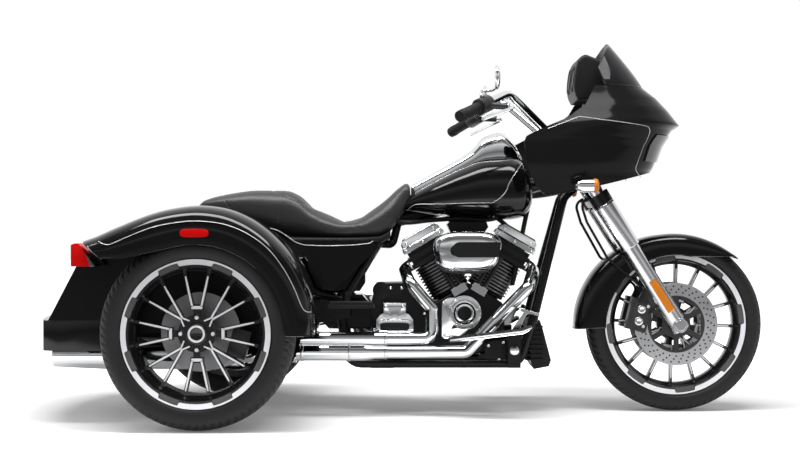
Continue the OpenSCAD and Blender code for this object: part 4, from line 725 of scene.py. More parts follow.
# Front fender: rows of [degrees about the axle, mm beyond the tyre], with skirts down to a lip
guard = {"rows": [[47, 11], [54, 11], [62, 11], [72, 11], [84, 11], [96, 11], [108, 15], [118, 20],
                  [130, 26], [143, 33], [156, 39], [170, 45], [183, 50]],
         "half": 84, "wall": 3.5, "along": 110, "across": 61}


def guardGrid(t):
    a = np.linspace(47, 183, guard["along"])
    radius = stance["frontR"] * 1000
    crown = radius + smoothRows(guard["rows"], a)
    rad = np.radians(a)
    lip = np.where(a < 90, np.maximum(250, 245 / np.sin(rad)), 250 + np.maximum(0, a - 150) * 0.2)
    lip = np.minimum(np.minimum(radius + 4, lip), crown - 8)
    place = np.arange(13)
    at = np.linspace(0, 12, guard["across"])
    y = smoothRows(np.stack([place, [-84, -84, -82, -74, -58, -32, 0, 32, 58, 74, 82, 84, 84]], -1), at)
    c = smoothRows(np.stack([place, [0, 0.35, 0.62, 0.82, 0.94, 0.99, 1, 0.99, 0.94, 0.82, 0.62, 0.35, 0]], -1), at)
    flank = np.minimum(1, (np.abs(y) / guard["half"]) ** 4)
    r = lip[:, None] + (crown - lip)[:, None] * c - t * (1 - flank)
    yy = np.broadcast_to(y - np.sign(y) * t * flank, r.shape)
    return np.stack([stance["frontX"] * 1000 + r * np.cos(rad)[:, None], yy, radius + r * np.sin(rad)[:, None]], -1) / 1000


guardObject = meshObject("fenderFrontShell", *sheetParts(guardGrid(0), guardGrid(guard["wall"])), paint, "steering")
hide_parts("fender_front")
print("trike: fenders made")

# Pinstripes: parameter pairs on each painted surface, for the right side and mirrored to the left
stripes = {
    "width": 0.0028, "lift": 0.0004, "count": 160,
    # [degrees round the nose, mm above the ground]
    "fairing": [[-88, 1013], [-87.5, 1030], [-87, 1047], [-85.5, 1056], [-75.3, 1047], [-61.4, 1037], [-50, 1030], [-44.2, 1025.9],
                [-38.8, 1011], [-35.2, 972], [-36, 923], [-36.5, 885], [-33.6, 868], [-29.5, 850]],
    # [mm ahead of the rear axle, degrees round the section]
    "tank": [[690, 222], [705, 194], [724, 186], [780, 193], [836, 197], [920, 199.5], [987, 200.8], [1008, 197.4], [1027, 190.5],
             [1051, 179.7], [1085, 154.4], [1106, 126]],
    # [degrees about the axle, place across from the inner edge at 0 to the lip at 10]
    "fender": [[136, 6.1], [135, 6.9], [133, 7.3], [124.8, 7.1], [111.7, 6.9], [99.2, 6.98], [86.6, 7.0], [78.4, 6.95], [69.9, 6.87],
               [60.5, 6.82], [49.9, 6.76], [39.1, 6.95], [29.2, 7.03], [20.9, 7.0], [14.1, 6.76], [11.5, 6.1], [11.0, 5.2]]}


def fenderAt(degrees, at):
    rows = np.array(fender["rows"], float)
    crown, lip = smoothRows(rows[:, :2], degrees), smoothRows(rows[:, [0, 2]], degrees)
    place = np.arange(11)
    y = smoothRows(np.stack([place, [430, 482, 528, 575, 620, 654, 678, 692, 698, 698, 696]], -1), at)
    r = lip + (crown - lip) * smoothRows(np.stack([place, fender["share"]], -1), at)
    a = np.radians(degrees)
    return np.stack([stance["rearX"] * 1000 + r * np.cos(a), -y, stance["rearR"] * 1000 + r * np.sin(a)], -1) / 1000


def smoothPairs(pairs):
    pairs = np.asarray(pairs, float)
    at = np.linspace(0, len(pairs) - 1, stripes["count"])
    place = np.arange(len(pairs))
    return np.stack([smoothRows(np.stack([place, pairs[:, k]], -1), at) for k in (0, 1)], -1)


stripeSets = []
for side in (-1, 1):
    for surface, pairs in ((lambda a, z: fairingAt(np.radians(a), z), stripes["fairing"]),
                           (lambda x, a: loftAt(tank, x, np.radians(a)), stripes["tank"]),
                           (fenderAt, stripes["fender"])):
        stripeSets.append(stripeParts(surface, smoothPairs(pairs), stripes["width"], stripes["lift"], side))
meshObject("pinstripes", *joinParts(stripeSets), silverPaint, "chassis")
print("trike: pinstripes laid")

# Tyres: the CAD section turned about the axle, with grooves pressed in across the shoulders and round the crown
tyres = {"around": 576, "across": 64, "blocks": 72, "grooveDepth": 0.0055, "slant": 9.0}


def tyreObject(name, node, body, axle, radius, bead, width):
    rimHalf = width / 2 - 0.010
    half = np.array([[bead + 0.0003, rimHalf - 0.0126], [bead + 0.015, rimHalf - 0.0126], [bead + 0.018, width / 2 - 0.012],
                     [bead + (radius - bead) * 0.36, width / 2 - 0.003], [bead + (radius - bead) * 0.52, width / 2],
                     [bead + (radius - bead) * 0.72, width / 2 - 0.004], [radius - 0.013, width * 0.42], [radius - 0.005, width * 0.33],
                     [radius - 0.0012, width * 0.2], [radius, width * 0.07]])
    line = np.concatenate([half * (1, -1), half[::-1]])
    pad = np.concatenate([line, np.zeros((len(line), 1))], 1)
    line = smoothPath(pad, tyres["across"])[:, :2]
    r, y = np.minimum(line[:, 0], radius), np.clip(line[:, 1], -width / 2, width / 2)
    share = np.clip((r - bead) / (radius - bead), 0, 1)
    angle = fullTurn(tyres["around"])
    crown = np.abs(y) / (width / 2)
    # Cross grooves on the shoulder, slanted, and two grooves round the tyre
    phase = angle[:, None] * tyres["blocks"] / (2 * np.pi) + np.sign(y) * crown * tyres["slant"] / 4
    wide = np.clip((crown - 0.30) / 0.1, 0, 1) * np.clip((share - 0.70) / 0.06, 0, 1)
    cross = (np.mod(phase, 1) < 0.24) * wide
    rings = np.exp(-((crown - 0.18) / 0.05) ** 4) * (share > 0.9)
    depth = tyres["grooveDepth"] * np.maximum(cross, rings[None])
    rr = r[None] - depth * np.clip((crown < 0.8) + 0.55, 0, 1)
    yy = y[None] - np.sign(y) * depth * (crown > 0.8) * 0.5
    points = np.stack([axle[0] + rr * np.cos(angle)[:, None], axle[1] + yy, axle[2] + rr * np.sin(angle)[:, None]], -1)
    obj = meshObject(name, points, gridQuads(len(angle), len(r), closeM=True, closeN=True)[:, ::-1], tyreRubber, body)
    layer = obj.data.attributes.new("wallShare", "FLOAT", "POINT")
    layer.data.foreach_set("value", np.broadcast_to(share, rr.shape).ravel())
    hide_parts(node)


tyreObject("tyreFrontTread", "tyre_front", "front_wheel", (stance["frontX"], 0, stance["frontR"]),
           stance["frontR"], stance["frontRim"], stance["frontW"])
for side, label in ((-1, "right"), (1, "left")):
    tyreObject("tyreRear" + label.capitalize() + "Tread", "tyre_rear_" + label, "rear_" + label + "_wheel",
               (stance["rearX"], side * stance["wheelY"], stance["rearR"]), stance["rearR"], stance["rearRim"], stance["rearW"])
print("trike: tyres made")

# Cut faces of the wheels: a ring with pockets left out, and a bright strip on each spoke
wheels = {"proud": 0.0005, "strip": 0.0065, "pocket": 8.6, "ringIn": -0.002, "pocketIn": 0.0100, "ringOut": 0.0158, "frontTurn": -14.0,
          "spokes": 16, "brightTo": 0.84}


# Flat outline pieces in the wheel's plane are placed by radius, angle and distance out from the middle
def wheelPlace(axle, side, turn, flat, out):
    a = math.radians(turn)
    x, z = flat[..., 0], flat[..., 1]
    return np.stack([axle[0] + x * math.cos(a) - z * math.sin(a), axle[1] + side * (out + 0 * x),
                     axle[2] + x * math.sin(a) + z * math.cos(a)], -1)


def facePiece(axle, side, turn, grid, out):
    top = wheelPlace(axle, side, turn, grid, out + wheels["proud"])
    under = wheelPlace(axle, side, turn, grid, out - wheels["proud"])
    return facing(sheetParts(top, under), side > 0)


def cutFaces(axle, side, turn, bead, ringOut, spokeOut):
    parts = []
    # Ring: the inner edge steps out to the pocket's edge within its angle, with eased corners
    a = np.radians(np.linspace(0, 360, 721))
    off = np.abs(np.mod(np.degrees(a), 45) - 22.5)
    ease = np.clip((wheels["pocket"] + 0.6 - off) / 1.2, 0, 1)
    ease = ease * ease * (3 - 2 * ease)
    inner = bead + wheels["ringIn"] + (wheels["pocketIn"] - wheels["ringIn"]) * ease
    r = inner[:, None] + (bead + wheels["ringOut"] - inner)[:, None] * np.linspace(0, 1, 4)
    parts.append(facePiece(axle, side, turn, np.stack([r * np.cos(a)[:, None], r * np.sin(a)[:, None]], -1), ringOut))
    step = 2 * math.pi / wheels["spokes"]
    for k in range(8):
        base = k * 2 * step
        c, s = math.cos(base), math.sin(base)
        spin = np.array([[c, s], [-s, c]])
        paired = k % 2 == 0
        for hand in (-1, 1):
            p = np.array([0.088, hand * 0.015]) if paired else np.array([0.070, hand * 0.003])
            q = (bead - 0.018) * np.array([math.cos(step / 2), hand * math.sin(step / 2)])
            d = (q - p) / np.linalg.norm(q - p)
            n = np.array([-d[1], d[0]])
            t = np.linspace(0, wheels["brightTo"], 12)[:, None, None]
            w = np.linspace(-0.5, 0.5, 3)[None, :, None] * wheels["strip"] * (1 - 0.35 * (t / wheels["brightTo"]) ** 6)
            parts.append(facePiece(axle, side, turn, (p + (q - p) * t + w * n) @ spin, spokeOut))
            if not paired:
                e = np.array([0.046, hand * 0.013])
                t2 = np.linspace(0, 1, 3)[:, None, None]
                w2 = np.linspace(-0.5, 0.5, 3)[None, :, None] * 0.005
                d2 = (e - p) / np.linalg.norm(e - p)
                parts.append(facePiece(axle, side, turn, (p + (e - p) * t2 + w2 * np.array([-d2[1], d2[0]])) @ spin, spokeOut))
        if paired:
            bar = np.stack(np.meshgrid(np.linspace(0.081, 0.091, 3), np.linspace(-0.018, 0.018, 5), indexing="ij"), -1)
            parts.append(facePiece(axle, side, turn, bar @ spin, spokeOut))
    return parts


# Floors of the rim pockets: a sector of a ring for each
def pocketFloors(axle, side, turn, bead, out):
    parts = []
    for k in range(8):
        a = np.radians(22.5 + 45 * k + np.linspace(-1, 1, 12) * wheels["pocket"])[:, None]
        r = np.linspace(bead - 0.0085, bead + 0.0105, 3)[None]
        parts.append(facePiece(axle, side, turn, np.stack([r * np.cos(a), r * np.sin(a)], -1), out))
    return parts


# Hub cap of turned rings, and four nuts round it
def hubTrim(axle, side, turn, out, nutR, nutOut):
    centre = np.array(axle) + (0, side * out, 0)
    axis = (0, side, 0)
    black = [turnedParts(centre, axis, [[0.037, -0.002], [0.037, 0.004], [0.033, 0.008], [0.0290, 0.008],
                                        [0.0285, 0.006], [0.0215, 0.006], [0.021, 0.004], [0.0001, 0.0045]], 48)]
    bright = [turnedParts(centre, axis, [[0.0282, 0.004], [0.0282, 0.0095], [0.0268, 0.0105],
                                         [0.0232, 0.0105], [0.0218, 0.0095], [0.0218, 0.004]], 48)]
    for k in range(4):
        a = math.radians(90 * k + turn)
        spot = np.array(axle) + (nutR * math.cos(a), side * nutOut, nutR * math.sin(a))
        black.append(turnedParts(spot, axis, [[0.0125, -0.001], [0.0125, 0.0015], [0.0001, 0.0016]], 20))
        bright.append(screwParts(spot + np.array([0, side * 0.0012, 0]), axis, 0.0065))
    return black, bright


for side, label in ((-1, "right"), (1, "left")):
    axle = (stance["rearX"], side * stance["wheelY"], stance["rearR"])
    black, bright = hubTrim(axle, side, 0, 0.062, 0.053, 0.058)
    name = "rear" + label.capitalize()
    faces = cutFaces(axle, side, 0, stance["rearRim"], stance["rearW"] / 2 - 0.010, 0.058)
    meshObject(name + "CutFaces", *joinParts(faces + bright), cutFace, "rear_" + label + "_wheel", smooth=False)
    meshObject(name + "HubCap", *joinParts(black), wheelBlack, "rear_" + label + "_wheel")
    meshObject(name + "Pockets", *joinParts(pocketFloors(axle, side, 0, stance["rearRim"], stance["rearW"] / 2 - 0.0137)), pocketGrey,
               "rear_" + label + "_wheel", smooth=False)
axle = (stance["frontX"], 0, stance["frontR"])
frontFaces, frontPockets = [], []
for side in (-1, 1):
    frontPockets += pocketFloors(axle, side, wheels["frontTurn"], stance["frontRim"], stance["frontW"] / 2 - 0.0137)
    frontFaces += cutFaces(axle, side, wheels["frontTurn"], stance["frontRim"], stance["frontW"] / 2 - 0.010, 0.017)
meshObject("frontCutFaces", *joinParts(frontFaces), cutFace, "front_wheel", smooth=False)
meshObject("frontPockets", *joinParts(frontPockets), pocketGrey, "front_wheel", smooth=False)
print("trike: wheel faces made")

# Lamps and reflectors: amber bullets' ends, and curved plates on the outside of the fork sliders
lamps = {"signal": (0.6125, 0.334, 0.815), "reflectorFrom": 0.060, "reflectorTo": 0.191, "reflectorHalf": 24.0, "sliderR": 0.031}
signalEnds = [turnedParts((lamps["signal"][0], side * lamps["signal"][1], lamps["signal"][2]), (1, 0, 0),
              np.array([[0.0245, 0.033], [0.0247, 0.041], [0.0225, 0.047], [0.017, 0.0505], [0.0001, 0.052]]), 32) for side in (-1, 1)]
meshObject("signalLenses", *joinParts(signalEnds), amberLens, "chassis")


def reflectorParts(side):
    up = np.array([-math.sin(stance["forkAngle"]), 0, math.cos(stance["forkAngle"])])
    base = np.array([stance["frontX"], side * stance["forkY"], stance["frontR"]])
    out = np.array([0, side, 0])
    turn = np.cross(up, out)
    s, a = np.meshgrid(np.linspace(lamps["reflectorFrom"], lamps["reflectorTo"], 20),
                       np.radians(np.linspace(-1, 1, 13) * lamps["reflectorHalf"]), indexing="ij")
    shell = lambda r: base + s[..., None] * up + r * (np.cos(a)[..., None] * out + np.sin(a)[..., None] * turn)
    return sheetParts(shell(lamps["sliderR"] + 0.0035), shell(lamps["sliderR"] - 0.0005))


meshObject("forkReflectors", *bothSides(reflectorParts), amberLens, "steering")
print("trike: lamps made")

# Seat: rows of [mm ahead of the rear axle, half width, bottom and top above 630 mm], rounded sections
seat = {
    "rows": [[-64, 105, 108, 128], [-44, 128, 98, 146], [50, 150, 66, 170], [150, 156, 34, 182], [250, 158, 6, 181], [292, 159, 0, 166],
             [342, 164, 0, 122], [402, 171, 0, 86], [462, 173, 0, 69], [522, 164, 0, 77], [582, 146, 4, 112], [632, 118, 30, 152],
             [662, 98, 70, 182], [694, 84, 118, 208], [704, 78, 148, 196]],
    "base": 630, "power": 0.6, "along": 130, "round": 96}
seatShape = dict(seat, rows=[[x, half, low + seat["base"], high + seat["base"]] for x, half, low, high in seat["rows"]])
# Seams as planes across the seat: [x, z, slope of x over z] in mm, with the height above which each is sewn
seams = {"planes": [[-439, 801, 0.209, 690], [-230, 693.6, -2.317, 637], [-657, 770, -0.7, 742]], "hold": 3.2, "groove": 1.6, "width": 2.6}
padding = {"voxel": 0.006, "pressure": 4.0, "frames": 20, "reach": 0.009, "under": -6.0, "ease": 24}


# Distance in mm of points from the nearest seam, large where nothing is sewn
def seamDistance(points):
    x, z = points[:, 0] * 1000, points[:, 2] * 1000
    near = [np.where(z > low, np.abs(x - px - slope * (z - pz)) / math.hypot(1, slope), 1e3) for px, pz, slope, low in seams["planes"]]
    return np.min(near, axis=0)


# Height in m of the seat's underside at x
def seatFloor(x):
    rows = np.array(seatShape["rows"], float)
    return smoothRows(rows[:, [0, 2]], x * 1000 - stance["rearX"] * 1000) / 1000


def meshPoints(mesh):
    flat = np.empty(len(mesh.vertices) * 3)
    mesh.vertices.foreach_get("co", flat)
    return flat.reshape(-1, 3)


# Swaps the object's mesh for its evaluated one and drops the modifiers
def settle(obj):
    mesh = bpy.data.meshes.new_from_object(obj.evaluated_get(bpy.context.evaluated_depsgraph_get()))
    obj.modifiers.clear()
    obj.data = mesh
    return mesh


# Cover blown up as cloth between its sewn seams, each point held within the reach of where it began
def inflate(obj):
    remesh = obj.modifiers.new("remesh", "REMESH")
    remesh.mode, remesh.voxel_size = "VOXEL", padding["voxel"]
    begin = meshPoints(settle(obj))
    held = (seamDistance(begin) < seams["hold"]) | (begin[:, 2] < seatFloor(begin[:, 0]) + 0.014)
    sewn = obj.vertex_groups.new(name="sewn")
    sewn.add(np.nonzero(held)[0].tolist(), 1.0, "REPLACE")
    cloth = obj.modifiers.new("cloth", "CLOTH")
    cloth.settings.use_pressure, cloth.settings.uniform_pressure_force = True, padding["pressure"]
    cloth.settings.effector_weights.gravity = 0
    cloth.settings.vertex_group_mass = "sewn"
    cloth.settings.tension_stiffness = cloth.settings.compression_stiffness = 40
    cloth.settings.bending_stiffness = 8
    cloth.point_cache.frame_start, cloth.point_cache.frame_end = 1, padding["frames"]
    for frame in range(1, padding["frames"] + 1):
        bpy.context.scene.frame_set(frame)
    mesh = settle(obj)
    move = meshPoints(mesh) - begin
    length = np.linalg.norm(move, axis=1)[:, None]
    print("trike: cover moved %.1f mm at most" % (length.max() * 1000))
    move *= np.minimum(1, padding["reach"] / np.maximum(length, 1e-9))
    # Foam under the cover evens the swelling out: each move becomes the mean of its neighbours', held points staying put
    pairs = np.empty(len(mesh.edges) * 2, int)
    mesh.edges.foreach_get("vertices", pairs)
    a, b = pairs.reshape(-1, 2).T
    count = np.maximum(np.bincount(pairs, minlength=len(move)), 1)[:, None]
    for turn in range(padding["ease"]):
        total = np.stack([np.bincount(a, move[b, k], len(move)) + np.bincount(b, move[a, k], len(move)) for k in range(3)], -1)
        move = np.where(held[:, None], 0, total / count)
    mesh.vertices.foreach_set("co", (begin + move).ravel())
    mesh.update()
    bpy.context.scene.frame_set(1)


under = padding["under"]
seatUnder = dict(seatShape, rows=[[x, half + under, low, high + under] for x, half, low, high in seatShape["rows"]])
seatObject = meshObject("seatCover", *ringParts(loftRings(seatUnder)), leather, "chassis")
inflate(seatObject)
smooth = seatObject.modifiers.new("smooth", "SUBSURF")
smooth.levels = smooth.render_levels = 1
mesh = settle(seatObject)
points, normals = meshPoints(mesh), np.empty(len(mesh.vertices) * 3)
mesh.vertices.foreach_get("normal", normals)
sink = seams["groove"] / 1000 * np.exp(-(seamDistance(points) / seams["width"]) ** 2)
mesh.vertices.foreach_set("co", (points - normals.reshape(-1, 3) * sink[:, None]).ravel())
mesh.polygons.foreach_set("use_smooth", np.ones(len(mesh.polygons), bool))
mesh.update()
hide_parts("seat")
print("trike: seat made")

# Engine trim: rings, insets and screws on the covers, in mm from the CAD model's stations
trim = {"cam": (204.5, 364.0), "camFace": -184.3, "gear": (-44.8, 338.0), "gearFace": -202.3, "bossFace": -166.3,
        "rockerS": 356.0, "rockerY": -94.0, "boardX": 144.5, "boardY": 360.0, "boardZ": 272.0}


# Superellipse in a plane: two half sizes, each with its power, on the places of those sides in xyz
def outlineRing(places, halves, powers):
    a = fullTurn(48)
    ring = np.zeros((48, 3))
    ring[:, places[0]] = halves[0] * signPow(np.cos(a), powers[0])
    ring[:, places[1]] = halves[1] * signPow(np.sin(a), powers[1])
    return ring


# An outline carried along an axis and drawn in, by rows of [way along the axis, share of the outline]
def drawnParts(centre, ring, axis, rows):
    rows = np.array(rows, float)
    return ringParts((np.array(centre) + rows[:, 1, None, None] * ring + rows[:, 0, None, None] * np.array(axis)) / 1000)


# Flat pad in the side view, drawn in towards its rim and raised from a face on the right
def padParts(x, y, z, halfX, halfZ, power, height):
    return drawnParts((x, y, z), outlineRing((0, 2), (halfX, halfZ), (power, power)), (0, -height, 0),
                      [[-0.3, 1.0], [0.6, 1.0], [1.0, 0.97], [1.0, 0.02]])


# Point of a bank of the V: across it, along its cylinder, at a distance y to the side
def bankPoint(side, along, out, y):
    s, c = math.sin(engine["lean"]), math.cos(engine["lean"])
    return np.array([engine["crankX"] * 1000 + side * (along * s + out * c), y, engine["crankZ"] * 1000 + along * c - out * s]) / 1000


mm = lambda *v: np.array(v, float) / 1000
right = (0, -1, 0)
camX, camZ = trim["cam"]
gearX, gearZ = trim["gear"]
bright = [screwParts(mm(camX + 46.5 * math.cos(a), trim["camFace"], camZ + 46.5 * math.sin(a)), right, 0.0045)
          for a in np.radians(90 + 72 * np.arange(5))]
bright += [screwParts(mm(gearX + x, trim["bossFace"], gearZ + 48), right, 0.0065) for x in (-31.2, 31.2)]
bright += [screwParts(mm(x, -142.4, z), right, 0.006) for x, z in ((133, 396), (133, 285), (160, 274), (225, 311))]
bright += [screwParts(bankPoint(side, trim["rockerS"], out, trim["rockerY"]), right, 0.0055) for side in (-1, 1) for out in (-56, 56)]
bright += [screwParts(bankPoint(side, 332, out, -99), right, 0.005) for side in (-1, 1) for out in (-70, 0, 70)]
bright += [screwParts(mm(x, -102.2, z), right, 0.006)
           for x, z in ((62, 240), (62, 360), (40, 420), (-118, 300), (-110, 250), (-20, 452), (-60, 452))]
bright += [screwParts(mm(x, 190.2, z), (0, 1, 0), 0.006)
           for x, z in ((173 + 66, 314), (173, 314 + 66), (173, 314 - 66), (-127 - 60, 314), (-127, 314 + 62), (-127, 314 - 62))]
bright += [screwParts(mm(x, -136.2, z), right, 0.006) for x, z in ((292, 246), (330, 196), (398, 262), (398, 206), (345, 258))]
meshObject("coverScrews", *joinParts(bright), chrome, "chassis")
black = [turnedParts(mm(camX, -178.1, camZ), right, [[0.0397, -0.001], [0.0397, 0.0006], [0.0334, 0.0006], [0.0334, -0.001]], 48),
         turnedParts(mm(camX, -182.2, camZ), right, [[0.026, -0.001], [0.026, 0.0008], [0.0001, 0.0009]], 40),
         padParts(gearX, trim["gearFace"], gearZ - 20, 52, 15, 0.45, 1.6)]
meshObject("coverInsets", *joinParts(black), plasticBlack, "chassis")
# Clips and joints of the exhaust: bands round the pipes
bands = [turnedParts(mm(x, -228, z), (1, 0, 0),
                     [[r - 0.001, -w], [r, -w], [r + 0.0012, -w * 0.6], [r + 0.0012, w * 0.6], [r, w], [r - 0.001, w]], 40)
         for x, z, r, w in ((-76, 277, 0.0252, 0.005), (-76, 230, 0.0252, 0.005), (-205, 230, 0.0312, 0.0035), (-372, 230, 0.0312, 0.006))]
bands += [turnedParts(mm(x, y, 226), (-1, 0, 0),
                      [[0.049, -w], [0.0503, -w], [0.0516, -w * 0.5], [0.0516, w * 0.5], [0.0503, w], [0.049, w]], 48)
          for y in (-300, 300) for x, w in ((-672, 0.006), (-1030, 0.004))]
meshObject("exhaustBands", *joinParts(bands), satinChrome, "chassis")
print("trike: engine trim made")

# Footboards: a bright edge on the outside, and ribs of rubber across the top
boards = {"ribs": 9, "edge": 2.4}


def boardParts(side):
    x = trim["boardX"] + np.array([2, 80, 170, 254, 270, 286.0])
    low = trim["boardZ"] + np.array([1, 10, 20.5, 30.5, 38.5, 47])
    high = trim["boardZ"] + np.array([11.5, 21, 31.5, 41.5, 48, 54.5])
    line = lambda y: np.stack([np.stack([x, np.full(6, side * y), low], -1), np.stack([x, np.full(6, side * y), high], -1)], 1) / 1000
    return facing(sheetParts(line(trim["boardY"] + boards["edge"]), line(trim["boardY"] - 0.5)), side < 0)


def ribParts(side, k):
    x = trim["boardX"] + 20 + 24.5 * k
    z = trim["boardZ"] + 12 + (x - trim["boardX"]) * 30 / 254
    return tubeParts(np.array([[x, side * 262, z], [x, side * 306, z], [x, side * 350, z]]) / 1000, 0.0035, 8)


edges = [boardParts(side) for side in (-1, 1)]
edges.append(turnedParts(mm(378, -236.2, 236), right, [[0.017, -0.001], [0.017, 0.008], [0.014, 0.011], [0.0001, 0.012]], 28))
meshObject("footboardEdges", *joinParts(edges), satinChrome, "chassis")
meshObject("footboardRibs", *joinParts([ribParts(side, k) for side in (-1, 1) for k in range(boards["ribs"])]), rubber, "chassis")
print("trike: footboards dressed")

# Handlebar ends: the grips' rings, and mirrors as domed shells on bent stems
bars = {"end": (180, 420, 1050), "bend": (362, 176, 1150), "mirror": (310, 372, 1186), "mirrorHalf": (65, 42)}
barEnd, barBend = np.array(bars["end"], float), np.array(bars["bend"], float)
barLine = (barEnd - barBend) / np.linalg.norm(barEnd - barBend)
housing = barEnd - barLine * 149.5
housingUp = np.array([0, 0, 1]) - barLine[2] * barLine
housingUp /= np.linalg.norm(housingUp)


def mirrorRing(inset=0):
    return outlineRing((1, 2), [half - inset for half in bars["mirrorHalf"]], (0.7, 0.8))


# Domed shell along x on a bent stem
def mirrorParts(side):
    shell = drawnParts(bars["mirror"], mirrorRing(), (1, 0, 0),
                       [[-8.6, 0.90], [-9, 0.95], [-7.5, 1.0], [-4, 1.0], [0, 0.97], [4, 0.88], [7, 0.70], [8.6, 0.45], [9, 0.1]])
    foot = housing + housingUp * 29.3
    top = np.array(bars["mirror"]) + [0, -4, -30]
    stem = tubeParts(smoothPath([foot, foot + housingUp * 16, (foot + top) / 2 + [10, 4, 6], top], 24) / 1000, 0.0055, 12)
    base = turnedParts(foot / 1000, housingUp, [[0.009, 0], [0.009, 0.009], [0.007, 0.012], [0.0001, 0.012]], 20)
    points, faces = facing(joinParts([shell, stem, base]), side > 0)
    return points * (1, side, 1), faces


def glassParts(side):
    points, faces = facing(drawnParts(bars["mirror"], mirrorRing(5), (1, 0, 0), [[-8.4, 1.0], [-9.6, 1.0], [-9.8, 0.02]]), side < 0)
    return points * (1, side, 1), faces


mirrorObject = meshObject("mirrorShells", *bothSides(mirrorParts), chrome, "steering")
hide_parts("mirrors")
meshObject("mirrorGlass", *bothSides(glassParts), mirrorGlass, "steering")
rings = []
for side in (-1, 1):
    flip = np.array([1, side, 1])
    for s in (6, 14, 22, 96, 104, 112):
        rings.append(turnedParts((barEnd - barLine * s) * flip / 1000, barLine * flip,
                                 [[0.0185, -0.0024], [0.0202, -0.002], [0.0206, 0], [0.0202, 0.002], [0.0185, 0.0024]], 28))
meshObject("gripRings", *joinParts(rings), rubber, "steering")
print("trike: handlebar dressed")

# Dash: a side outline carried across, drawn in at both ends, with two gauges facing the rider
dash = {"outline": [[616, 1130], [606, 1150], [601, 1178], [604, 1215], [609, 1250], [619, 1279], [640, 1295],
                    [668, 1287], [700, 1272], [728, 1256],
                    [744, 1236], [742, 1205], [730, 1170], [712, 1145], [690, 1131], [660, 1129]], "half": 124, "gauges": 62}


def dashRings():
    line = np.array(dash["outline"] + dash["outline"][:1], float)
    line = smoothPath(np.concatenate([line, np.zeros((len(line), 1))], 1), 97)[:-1, :2]
    middle = np.array([655.0, 1205.0])
    y = np.array([-1, -0.995, -0.97, -0.92, -0.8, 0, 0.8, 0.92, 0.97, 0.995, 1])
    draw = np.array([0.86, 0.91, 0.96, 0.99, 1, 1, 1, 0.99, 0.96, 0.91, 0.86])
    flat = middle + (line - middle)[None] * draw[:, None, None]
    return np.stack([flat[..., 0], np.broadcast_to(y[:, None] * dash["half"], flat.shape[:2]), flat[..., 1]], -1) / 1000


dashObject = meshObject("dashShell", *facing(ringParts(dashRings()), False), plasticBlack, "chassis")
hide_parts("dash")
gaugeRings, gaugeFaces = [], []
for y in (-dash["gauges"], dash["gauges"]):
    spot, axis = mm(607.5, y, 1212), (-0.995, 0, 0.1)
    gaugeRings.append(turnedParts(spot, axis, [[0.048, -0.006], [0.048, 0.004], [0.045, 0.0065], [0.042, 0.004], [0.042, -0.006]], 40))
    gaugeFaces.append(turnedParts(spot, axis, [[0.0425, -0.006], [0.0425, 0.002], [0.0001, 0.0024]], 40))
meshObject("gaugeRings", *joinParts(gaugeRings), plasticBlack, "chassis")
meshObject("gaugeFaces", *joinParts(gaugeFaces), plasticBlack, "chassis")
print("trike: dash made")

# Front calipers: silver piston caps and bolts on the outer face, by radius and angle about the axle
caps = []
for side in (-1, 1):
    for r, turn, size in ((140, 166 - 9, 0.0155), (140, 166 + 9, 0.0155), (124, 166 - 18, 0.006), (124, 166 + 17, 0.006)):
        spot = mm(978.5 + r * math.cos(math.radians(turn)), side * 96.6, 319 + r * math.sin(math.radians(turn)))
        caps.append(turnedParts(spot, (0, side, 0),
                                np.array([[1, -0.1], [1, 0.12], [0.86, 0.2], [0.3, 0.2], [0.24, 0.1], [0.01, 0.1]]) * size, 24))
meshObject("caliperCaps", *joinParts(caps), satinChrome, "steering")
# Painted highlight: a thin silver line along the top of the side covers, where the bodywork's upper edge catches the
# light
coverHighlightLine = np.array([[-489, 668], [-462, 659], [-430, 640], [-400, 619], [-372, 609],
                      [-330, 606], [-240, 606], [-160, 611], [-132, 616], [-122, 623.0]])
lines = [tubeParts(smoothPath(np.insert(coverHighlightLine, 1, side * 180.8, 1), 80) / 1000, 0.0015, 8) for side in (-1, 1)]
meshObject("coverEdgeHighlight", *joinParts(lines), silverPaint, "chassis")


# Upper rear corner of each side cover: a sheet below the highlight line
def cornerParts(side):
    top = smoothPath(np.insert(coverHighlightLine[:5], 1, side * 180.2, 1), 30)
    share = np.linspace(0, 1, 6)[None, :, None]
    low = top * (1, 1, 0) + np.array([0, 0, 560.0])
    outer = top[:, None] * share + low[:, None] * (1 - share)
    return facing(sheetParts(outer / 1000, (outer - np.array([0, side * 3.0, 0])) / 1000), side < 0)


meshObject("coverCorners", *bothSides(cornerParts), paint, "chassis")
# Pan under the seat
pan = {"rows": [[150, 120, 636, 668], [236, 146, 612, 646], [300, 160, 607, 640],
                [480, 168, 606, 640], [590, 132, 612, 644], [630, 104, 628, 664]],
       "power": 0.5, "along": 60, "round": 48}
meshObject("seatPan", *ringParts(loftRings(pan)), plasticBlack, "chassis")
print("trike: caliper and cover trim made")

# Air cleaner: a dome over the CAD shell by growing shares of its outline, with a black inset that follows the dome
cleaner = {"x": 212.5, "z": 586.0, "y": -118.0, "half": (119.0, 70.0),
           # [share of the outline, mm out from the base]
           "dome": [[1.006, 100], [1.008, 108], [0.998, 117], [0.975, 126], [0.93, 134], [0.86, 140],
                    [0.72, 145.5], [0.5, 149], [0.25, 150.4], [0.02, 150.8]],
           "inset": (-62, 118, 19)}


def cleanerOutline(a):
    c, s = np.cos(a), np.sin(a)
    x = cleaner["half"][0] * signPow(c, 0.62) + np.where(s > 0, 14 * s * c, -6 * c)
    z = cleaner["half"][1] * signPow(s, 0.72) + np.where(c < 0, -8 * c * c, 0)
    return np.stack([x, z], -1)


